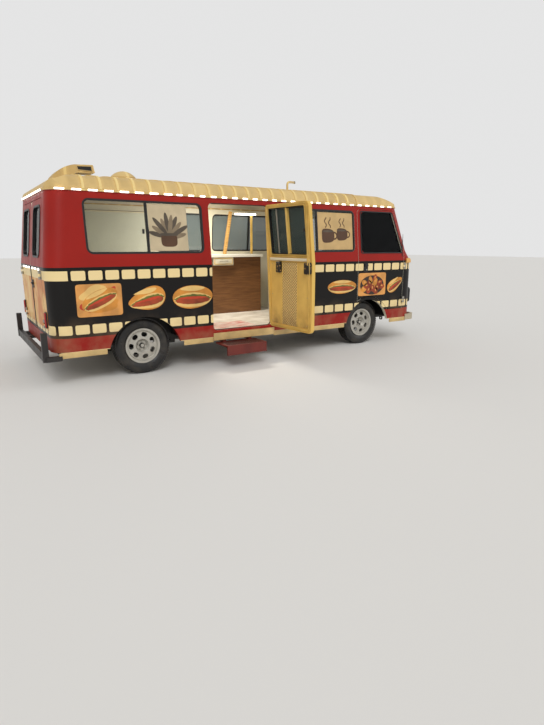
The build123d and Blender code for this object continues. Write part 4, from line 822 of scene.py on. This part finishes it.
def screen_trim():
    """The windscreen's seal, bent back at the corners as the nose is, and the two wipers."""
    trim = Piece("screen_trim", "body", "seal", rubber, black_plastic)
    slope = Vector((1.0, 0.0, SCREEN_RAKE)).normalized()
    (foot_y, foot_z), (head_y, head_z) = SCREEN_LIGHT
    corners = [spot(0.0, y, z) for y, z in
               ((-foot_y, foot_z), (foot_y, foot_z), (head_y, head_z), (-head_y, head_z))]
    trim.ring(corners, FORWARD, 0.018, 0.014, SEAL_CORNER, rubber)
    for vert in trim.shape.verts:
        share = (vert.co.z - foot_z) / (head_z - foot_z)
        edge = foot_y + share * (head_y - foot_y)
        past = max(0.0, abs(vert.co.y - MID_Y) - edge + SEAL_CORNER) / SEAL_CORNER
        vert.co.x += screen_x(vert.co.z) + 0.004 - 0.016 * past * past
    blade_ends = ((0.33, 1.46), (0.19, 1.86))
    for y in (0.34, -0.3):
        pivot = spot(screen_x(1.405) + 0.012, y, 1.395)
        tip = spot(screen_x(1.66) + 0.022, y - 0.26, 1.66)
        blade = [spot(screen_x(z) + 0.012, y - aside, z) for aside, z in blade_ends]
        trim.rod(pivot - slope * 0.02, pivot + slope * 0.012, 0.016, 0.013, finish=black_plastic)
        trim.rod(pivot, tip, 0.006, 0.004, 12, black_plastic)
        trim.rod(*blade, 0.0045, sides=10, finish=black_plastic)
    trim.done()


def circle(centre, radius):
    """Points round a circle that faces along the van."""
    turns = [2 * math.pi * step / RIM_SIDES for step in range(RIM_SIDES)]
    return [centre + Vector((0.0, math.cos(t) * radius, math.sin(t) * radius)) for t in turns]


def lamp_details():
    """Reflectors and rings of the headlamps, frames of the tail lamps."""
    lamps = Piece("lamp_details", "body", "bare_steel", chrome, black_plastic, mirror_dish)
    for side in SIDES:
        centre = spot(5.3072, side * LAMP_Y, LAMP_Z)
        lamps.rod(centre, centre + Vector((0.003, 0.0, 0.0)), 0.084, sides=RIM_SIDES,
                  finish=mirror_dish)
        lamps.rod(centre, centre + Vector((0.02, 0.0, 0.0)), 0.016, 0.012, 24, chrome)
        rim = circle(spot(5.354, side * LAMP_Y, LAMP_Z), 0.1)
        lamps.ring(rim, FORWARD, 0.011, 0.008, 0.0, chrome)
        tail = end_outline(sorted((side * 0.71, side * 0.782)), (0.606, 0.774), 0.001)
        lamps.ring(tail, REARWARD, 0.007, 0.014, 0.012, black_plastic)
    lamps.done()


def doorway_trim():
    """The stop round the doorway's inner edge, its seal, and the board along the sill."""
    frame_trim = Piece("doorway_trim", "body", "cream_trim", lining, rubber)
    frame_trim.ring(wall_outline(grown(DOOR_X, 0.014), grown(DOOR_Z, 0.014), -0.911),
                    (0.0, 1.0, 0.0), 0.026, 0.012, 0.075, lining)
    frame_trim.ring(wall_outline(grown(DOOR_X, 0.002), grown(DOOR_Z, 0.002), -0.913),
                    (0.0, -1.0, 0.0), 0.009, 0.004, 0.062, rubber)
    frame_trim.done(side=RIGHT)
    sill = Piece("sill_board", "body", "cream_trim", sill_cream)
    sill.block(spot(1.814, -0.981, 0.322), spot(2.69, -0.9645, 0.412), 0.004)
    sill.done()


side_door_fittings()
doorway_trim()
screen_trim()
lamp_details()
for side in SIDES:
    front_door_fittings(side)
    rear_door_fittings(side)


# Wheels
WHEELS = {
    "rear_right": (0.98, RIGHT), "rear_left": (0.98, LEFT),
    "front_right": (4.35, RIGHT), "front_left": (4.35, LEFT),
}
WHEEL_Y = 0.745
TYRE_R = 0.325
# Each row's place across the tyre, its blocks' width and their distance from the axle
TREAD_ROWS = (
    (-0.066, 0.026, 0.3145), (-0.033, 0.024, 0.3175), (0.0, 0.026, 0.3175), (0.033, 0.024, 0.3175),
    (0.066, 0.026, 0.3145),
)
TREAD_STEPS = 68
BLOCK_LENGTH = 0.0225
BLOCK_HEIGHT = 0.013
NUTS = 5
NUT_CIRCLE = 0.046


def treaded_tyre(name, x, side):
    """A tyre turned from its section, with rows of tread blocks round it."""
    tyre = Piece("tread_" + name, "wheel_" + name, "tyre", tyre_rubber)
    # Half of the section, from the bead to the middle of the tread: place across, and radius
    section = (
        (0.074, 0.204), (0.08, 0.216), (0.0925, 0.238), (0.0968, 0.262), (0.0955, 0.283),
        (0.0895, 0.3), (0.078, 0.3105), (0.04, 0.3125), (0.0, 0.313),
    )
    outline = [(y, r) for y, r in section] + [(-y, r) for y, r in reversed(section[:-1])]
    verts = [tyre.shape.verts.new(Vector((0.0, y, r))) for y, r in outline]
    edges = [tyre.shape.edges.new(pair) for pair in zip(verts, verts[1:])]
    bmesh.ops.spin(
        tyre.shape, geom=verts + edges, cent=(0, 0, 0), axis=(0, 1, 0), angle=2 * math.pi,
        steps=84, use_merge=True,
    )
    for row, (y, width, reach) in enumerate(TREAD_ROWS):
        for step in range(TREAD_STEPS):
            made = bmesh.ops.create_cube(tyre.shape, size=1.0)["verts"]
            bmesh.ops.scale(tyre.shape, vec=(BLOCK_LENGTH, width, BLOCK_HEIGHT),
                            verts=made)
            bmesh.ops.translate(tyre.shape, vec=(0.0, y, reach), verts=made)
            turn = Matrix.Rotation(2 * math.pi * (step + row * 0.5) / TREAD_STEPS, 3, "Y")
            bmesh.ops.rotate(tyre.shape, cent=(0, 0, 0), matrix=turn, verts=made)
    bmesh.ops.translate(tyre.shape, vec=spot(x, side * WHEEL_Y, TYRE_R), verts=tyre.shape.verts)
    tyre.done(replaces=("tyre_" + name,))


def wheel_details(name, x, side):
    """Nuts, the hub's cap and the valve of one wheel."""
    wheel = Piece("wheel_details_" + name, "wheel_" + name, "wheel_paint", bare_steel,
                  black_plastic, rim_silver)
    centre = spot(x, side * WHEEL_Y, TYRE_R)

    def at(y, radius=0.0, turn=0.0):
        return centre + Vector((radius * math.cos(turn), side * y, radius * math.sin(turn)))

    wheel.rod(at(0.034), at(0.058), 0.031, 0.027, 32, black_plastic)
    wheel.rod(at(0.058), at(0.062), 0.021, 0.018, 32, rim_silver)
    for step in range(NUTS):
        turn = 2 * math.pi * step / NUTS + 0.3
        root, face, stud = (at(y, NUT_CIRCLE, turn) for y in (0.034, 0.05, 0.053))
        wheel.rod(root, face, 0.0105, sides=6, finish=bare_steel)
        wheel.rod(face, stud, 0.006, sides=12, finish=bare_steel)
    wheel.rod(at(0.05, 0.178, 2.2), at(0.088, 0.183, 2.2), 0.0045, sides=10, finish=black_plastic)
    wheel.done()


for name, (x, side) in WHEELS.items():
    treaded_tyre(name, x, side)
    wheel_details(name, x, side)


# Seats: a base and a back for each, swollen by their own padding
SEAT_X = 4.19
SEAT_Y = 0.655
SEAT_Z = 0.76
RECLINE = math.radians(14)
CUSHION_HALF = 0.205
PAD_FRAMES = 14
PAD_SWELL = 0.016
CHANNEL_Y = 0.108
CHANNEL_WIDTH = 0.016
CHANNEL_DEPTH = 0.009


def swollen_pad(name, low, high, turn):
    """A cushion grown from a slightly smaller block by cloth pressure, with two sewn channels."""
    pad = Piece(name, "body", "seat_fabric", seat_cloth)
    pad.block(low, high, 0.022)
    bmesh.ops.subdivide_edges(pad.shape, edges=pad.shape.edges, cuts=2, use_grid_fill=True)
    if turn:
        bmesh.ops.rotate(pad.shape, cent=turn[0], matrix=turn[1], verts=pad.shape.verts)
    thing = pad.done()
    bpy.context.view_layer.objects.active = thing
    thing.select_set(True)
    remesh = thing.modifiers.new("even_mesh", "REMESH")
    remesh.mode = "VOXEL"
    remesh.voxel_size = 0.008
    bpy.ops.object.modifier_apply(modifier=remesh.name)
    flat = [vertex.co.copy() for vertex in thing.data.vertices]
    cloth = thing.modifiers.new("padding", "CLOTH")
    cloth.settings.use_pressure = True
    cloth.settings.uniform_pressure_force = 4.0
    cloth.settings.effector_weights.gravity = 0.0
    for step in range(1, PAD_FRAMES + 1):
        bpy.context.scene.frame_set(step)
    bpy.ops.object.modifier_apply(modifier=cloth.name)
    bpy.context.scene.frame_set(1)
    middle = (Vector(low) + Vector(high)) / 2
    if turn:
        middle = turn[0] + turn[1] @ (middle - turn[0])
    unturn = turn[1].inverted() if turn else Matrix.Identity(3)
    size = Vector(high) - Vector(low)
    thin = min(range(3), key=lambda axis: size[axis])
    for vertex, start in zip(thing.data.vertices, flat):
        move = vertex.co - start
        if move.length > PAD_SWELL:
            vertex.co = start + move * (PAD_SWELL / move.length)
        place = unturn @ (vertex.co - middle)
        for channel in (-CHANNEL_Y, CHANNEL_Y):
            dip = max(0.0, 1.0 - abs(place.y - channel) / CHANNEL_WIDTH)
            if dip and abs(place[thin]) > 0.25 * size[thin]:
                place[thin] -= math.copysign(CHANNEL_DEPTH * dip * dip, place[thin])
        vertex.co = middle + unturn.inverted() @ place
    thing.data.polygons.foreach_set("use_smooth", [True] * len(thing.data.polygons))
    finer = thing.modifiers.new("finer", "SUBSURF")
    finer.levels = finer.render_levels = 1
    thing.select_set(False)
    return thing


def seat(side):
    """One seat: padded base and back on a shell and a box."""
    y = side * SEAT_Y
    swollen_pad("seat_base_" + WORDS[side],
                spot(SEAT_X + 0.03, y - CUSHION_HALF, SEAT_Z + 0.02),
                spot(SEAT_X + 0.455, y + CUSHION_HALF, SEAT_Z + 0.115), None)
    foot = spot(SEAT_X + 0.05, y, SEAT_Z + 0.1)
    leaning = (foot, Matrix.Rotation(-RECLINE, 3, "Y"))
    swollen_pad("seat_back_" + WORDS[side],
                spot(SEAT_X + 0.012, y - CUSHION_HALF, SEAT_Z + 0.115),
                spot(SEAT_X + 0.085, y + CUSHION_HALF, SEAT_Z + 0.545), leaning)
    shell = Piece("seat_shell_" + WORDS[side], "body", "black_plastic", black_plastic, frame_black)
    shell.block(spot(SEAT_X + 0.02, y - 0.2, SEAT_Z), spot(SEAT_X + 0.45, y + 0.2, SEAT_Z + 0.03),
                0.01, black_plastic)
    shell.block(spot(SEAT_X, y - 0.195, SEAT_Z + 0.1),
                spot(SEAT_X + 0.018, y + 0.195, SEAT_Z + 0.53), 0.008, black_plastic, leaning)
    shell.block(spot(SEAT_X + 0.04, y - 0.18, SEAT_Z - 0.058),
                spot(SEAT_X + 0.42, y + 0.18, SEAT_Z), 0.004, frame_black)
    return shell


shells = [seat(side) for side in SIDES]
shells[1].done(replaces=("seats",))
shells[0].done()


# Prints on the panes: plain drawings of a cafe's things
def pane_poster(name, x, z, ground, border):
    """A print on a side window on the right, with its border, and where its drawing goes."""
    poster = Piece(name, "body", "cream_trim", ground, border, poster_grey, poster_brown,
                   poster_ash)
    y = -(HALF_WIDTH - 0.0128)
    corners = wall_outline(x, z, y)
    poster.ring(corners, (0.0, -1.0, 0.0), 0.0, 0.0006, 0.0, ground)
    poster.ring(corners, (0.0, -1.0, 0.0), 0.012, 0.001, 0.0, border)
    return poster, y - 0.0008


def pot_of_leaves(poster, y, x, z, size):
    """A round pot with a fan of broad leaves, in soft greys."""
    for index, turn in enumerate((-1.3, -1.0, -0.72, -0.4, -0.12, 0.18, 0.45, 0.74, 1.05, 1.32)):
        reach = size * (0.56 if index % 2 else 0.7)
        middle = spot(x + reach * math.sin(turn) * 0.8, y - LAYER * (index % 3 + 1),
                      z + reach * math.cos(turn))
        poster.patch(middle, FORWARD, UP, (size * 0.1, size * (0.36 + 0.05 * (index % 3))),
                     poster_ash if index % 2 else poster_grey, LAYER, -turn, ((1, 0.12, 0.5),))
    poster.patch(spot(x, y - 0.0018, z - size * 0.05), FORWARD, UP, (size * 0.36, size * 0.3),
                 poster_brown, LAYER, 0.0, ((2, 0.06, 1.57),), flat=0.6)
    poster.patch(spot(x, y - 0.0023, z + size * 0.2), FORWARD, UP, (size * 0.43, size * 0.06),
                 poster_grey, LAYER, flat=0.5)


def steaming_cup(poster, y, x, z, size):
    """A cup with its handle and two curls of steam, drawn in brown on the poster's ground."""
    handle = x + size * 0.42
    # Each shape's place, which layer it is in, its radii, finish, waves and squareness
    shapes = (
        (handle, z, 1, (0.2, 0.2), poster_brown, ((0, 0.0, 0.0),), 1.0),
        (handle, z, 2, (0.12, 0.12), None, ((0, 0.0, 0.0),), 1.0),
        (x, z, 3, (0.4, 0.34), poster_brown, ((3, 0.05, 1.57),), 0.6),
        (x, z + size * 0.22, 4, (0.36, 0.05), poster_grey, ((0, 0.0, 0.0),), 1.0),
    )
    for across, height, layer, (wide, high), finish, waves, flat in shapes:
        poster.patch(spot(across, y - layer * LAYER, height), FORWARD, UP,
                     (size * wide, size * high), finish, LAYER, 0.0, waves, flat=flat)
    for lag, shift in ((0.0, -0.13), (1.2, 0.13)):
        for index in range(9):
            rise = size * (0.42 + 0.055 * index)
            sway = size * 0.06 * math.sin(index * 0.9 + lag)
            poster.patch(spot(x + shift * size + sway, y - LAYER, z + rise), FORWARD, UP,
                         (size * 0.026, size * 0.045), poster_brown, LAYER)


def window_posters():
    """The prints of the rear and the front pane on the right."""
    rear, y = pane_poster("poster_rear_pane", (1.095, 1.545), (1.392, 1.892), poster_beige,
                          poster_beige_edge)
    pot_of_leaves(rear, y, 1.32, 1.52, 0.25)
    rear.done(side=RIGHT)
    front, y = pane_poster("poster_front_pane", (3.41, 4.045), (1.395, 1.885), poster_sand,
                           poster_brown)
    steaming_cup(front, y, 3.6, 1.58, 0.27)
    steaming_cup(front, y, 3.85, 1.6, 0.24)
    front.done(side=RIGHT)


def pane_catches():
    """The small catches of the sliding panes."""
    catches = Piece("pane_catches", "body", "black_plastic", black_plastic)
    for side in SIDES:
        low, high = sorted((side * (HALF_WIDTH - 0.012), side * (HALF_WIDTH + 0.001)))
        catches.block(spot(1.015, low, 1.575), spot(1.04, high, 1.625), 0.004)
    catches.done(side=RIGHT)


def inside_fittings():
    """The lamp at the far wall's top, two posts on the worktop, and the white drawer."""
    inside = Piece("inside_fittings", "body", "panel_wood", wood_pale, cream_paint, lamp_white,
                   bare_steel, lining)
    inside.block(spot(3.08, 0.66, 1.915), spot(3.42, 0.76, 1.94), 0.008, lamp_white)
    inside.block(spot(3.06, 0.65, 1.937), spot(3.44, 0.845, 1.955), 0.006, lining)
    slant = (spot(2.83, 0.634, 1.32), Matrix.Rotation(math.radians(10.5), 3, "Y"))
    inside.block(spot(2.808, 0.612, WORKTOP_Z), spot(2.852, 0.656, 1.965), 0.004, wood_pale, slant)
    inside.block(spot(3.36, 0.72, WORKTOP_Z), spot(3.39, 0.75, 1.93), 0.004, cream_paint)

    drawer_x, drawer_z, front_y = (2.5, 2.832), (1.162, 1.284), 0.357
    inside.block(spot(drawer_x[0], front_y, drawer_z[0]), spot(drawer_x[1], 0.42, drawer_z[1]),
                 0.004, lining)
    inset = wall_outline(grown(drawer_x, -0.015), (1.177, 1.27), 0.358)
    inside.ring(inset, (0.0, -1.0, 0.0), 0.008, 0.004, 0.01, cream_paint)
    handle_y, handle_z = 0.338, 1.225
    inside.rod(spot(2.6, handle_y, handle_z), spot(2.73, handle_y, handle_z), 0.005, sides=12,
               finish=bare_steel)
    for x in (2.605, 2.725):
        inside.rod(spot(x, handle_y, handle_z), spot(x, 0.358, handle_z), 0.004, sides=10,
                   finish=bare_steel)
    inside.done()


def roof_details():
    """The cowl's cheeks and mouth bars, the round vent's lamp and the flue's end ring."""
    roof = Piece("roof_details", "body", "roof_paint", roof_plain, black_plastic, led_white,
                 bare_steel)
    cheek = ((0.575, 2.283), (0.742, 2.276), (0.735, 2.34), (0.562, 2.334))
    for side in SIDES:
        face = [spot(x, side * 0.1205, z) for x, z in cheek]
        roof.ring(face, (0.0, side, 0.0), 0.009, 0.006, 0.008, roof_plain)
        roof.ring(face, (0.0, side, 0.0), 0.0, 0.001, 0.008, black_plastic)
    for step in range(6):
        z = 2.281 + step * 0.0115
        roof.block(spot(0.742, -0.108, z), spot(0.76, 0.108, z + 0.0035), 0.0, black_plastic)
    vent_x = 1.13
    roof.rod(spot(vent_x, 0.0, 2.214), spot(vent_x, 0.0, 2.232), 0.132, 0.13, 56, led_white)
    roof.rod(spot(vent_x, 0.0, 2.206), spot(vent_x, 0.0, 2.215), 0.125, 0.138, 56, roof_plain)
    roof.rod(spot(3.535, -0.2, 2.33), spot(3.549, -0.2, 2.33), 0.019, 0.019, 24, bare_steel)
    roof.done()


def sill_trims():
    """The pale strip along the foot of each side, broken at the wheels and the doorway."""
    behind, ahead = (0.05, 0.54), (4.81, 5.16)
    between = {
        LEFT: ((1.43, 3.9),),
        RIGHT: ((1.43, DOOR_X[0] - 0.006), (DOOR_X[1] + 0.018, 3.9)),
    }
    for side in SIDES:
        trim = Piece("sill_trim_" + WORDS[side], "body", "body_paint", sill_cream)
        low, high = sorted((side * 0.956, side * 0.9665))
        for start, end in (behind, *between[side], ahead):
            trim.block(spot(start, low, 0.304), spot(end, high, 0.363), 0.003)
        trim.done()


def far_blind():
    """A pale blind drawn over the far side's rear window."""
    blind = Piece("far_blind", "body", "cream_trim", blind_grey, pale_bar)
    start, end = 0.39, 1.72
    blind.block(spot(start, 0.893, 1.36), spot(end, 0.896, 1.905), 0.0)
    blind.rod(spot(start, 0.894, 1.906), spot(end, 0.894, 1.906), 0.009, sides=16,
              finish=pale_bar)
    blind.block(spot(start, 0.89, 1.346), spot(end, 0.899, 1.362), 0.002, pale_bar)
    blind.done(side=LEFT)


def side_details():
    """The filler cap on the left, and the ridges on the step."""
    details = Piece("side_details", "body", "black_plastic", black_plastic, bare_steel, step_dark)
    cap_x, cap_z = 2.25, 0.86
    for radius, start, end, finish in (
        (0.052, 0.964, 0.968, bare_steel), (0.044, 0.968, 0.985, black_plastic),
    ):
        details.rod(spot(cap_x, start, cap_z), spot(cap_x, end, cap_z), radius, radius * 0.96, 40,
                    finish)
    details.block(spot(2.215, 0.984, 0.853), spot(2.285, 0.991, 0.867), 0.003, black_plastic)
    low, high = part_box("side_step")
    for index in range(STEP_RIDGES):
        y = low.y + 0.026 + index * RIDGE_PITCH
        details.block(Vector((low.x + 0.02, y, STEP_TOP - 0.001)),
                      Vector((high.x - 0.02, y + 0.009, STEP_TOP + 0.004)), 0.0015, step_dark)
    details.done()


window_posters()
pane_catches()
inside_fittings()
roof_details()
sill_trims()
far_blind()
side_details()


# Stage, light and camera
def stage_floor():
    """A wide pale floor under the tyres."""
    shape = bmesh.new()
    bmesh.ops.create_grid(shape, x_segments=1, y_segments=1, size=60.0)
    mesh = bpy.data.meshes.new("studio_floor")
    shape.to_mesh(mesh)
    shape.free()
    finish = Finish("studio_floor", (0.72, 0.71, 0.69), 0.9)
    mesh.materials.append(finish.material)
    floor = bpy.data.objects.new("studio_floor", mesh)
    bpy.context.scene.collection.objects.link(floor)


def studio_world():
    """Plain light from all round, with a pale backdrop for what sees it directly."""
    world = bpy.data.worlds.new("studio")
    world.use_nodes = True
    nodes, links = world.node_tree.nodes, world.node_tree.links
    back = nodes["Background"]
    back.inputs["Color"].default_value = (1.0, 0.99, 0.97, 1.0)
    back.inputs["Strength"].default_value = 0.62
    shown = nodes.new("ShaderNodeBackground")
    shown.inputs["Color"].default_value = (0.78, 0.78, 0.78, 1.0)
    path = nodes.new("ShaderNodeLightPath")
    seen = nodes.new("ShaderNodeMath")
    seen.operation = "MAXIMUM"
    links.new(path.outputs["Is Camera Ray"], seen.inputs[0])
    links.new(path.outputs["Is Transmission Ray"], seen.inputs[1])
    mix = nodes.new("ShaderNodeMixShader")
    links.new(seen.outputs[0], mix.inputs[0])
    links.new(back.outputs[0], mix.inputs[1])
    links.new(shown.outputs[0], mix.inputs[2])
    links.new(mix.outputs[0], nodes["World Output"].inputs[0])
    bpy.context.scene.world = world


def place_lamp(name, light, place, aim):
    """Hangs a light up, turned to shine along aim."""
    lamp = bpy.data.objects.new(name, light)
    lamp.location = place
    lamp.rotation_euler = Vector(aim).to_track_quat("-Z", "Y").to_euler()
    bpy.context.scene.collection.objects.link(lamp)


def broad_lamp(name, aim, strength, spread):
    """Even light from one direction, soft at the shadow's edge."""
    light = bpy.data.lights.new(name, "SUN")
    light.energy = strength
    light.angle = math.radians(spread)
    place_lamp(name, light, spot(2.6, 0.0, 8.0), aim)


def cabin_lamp():
    """The light of the van's own lamp, spread over the kitchen."""
    light = bpy.data.lights.new("cabin_lamp", "AREA")
    light.shape = "RECTANGLE"
    light.size, light.size_y = 0.9, 0.4
    light.energy = 30.0
    light.color = (1.0, 0.95, 0.86)
    place_lamp("cabin_lamp", light, spot(2.3, 0.1, 2.1), (0.0, 0.0, -1.0))


def photo_camera():
    """The camera where the photograph was taken from, with its lens."""
    camera = bpy.data.cameras.new("photo_camera")
    camera.sensor_fit = "AUTO"
    camera.sensor_width = 36.0
    camera.lens = 24.83
    camera.clip_end = 300.0
    thing = bpy.data.objects.new("photo_camera", camera)
    thing.location = spot(-0.86, -6.376, 1.45)
    aim = Vector((0.5312, 0.8161, -0.2278))
    thing.rotation_euler = aim.to_track_quat("-Z", "Y").to_euler()
    bpy.context.scene.collection.objects.link(thing)
    bpy.context.scene.camera = thing


stage_floor()
studio_world()
broad_lamp("key_lamp", (0.4, 0.72, -0.72), 1.25, 24.0)
broad_lamp("fill_lamp", (-0.75, 0.5, -0.6), 0.35, 40.0)
cabin_lamp()
photo_camera()
bpy.context.scene.view_settings.view_transform = "Standard"
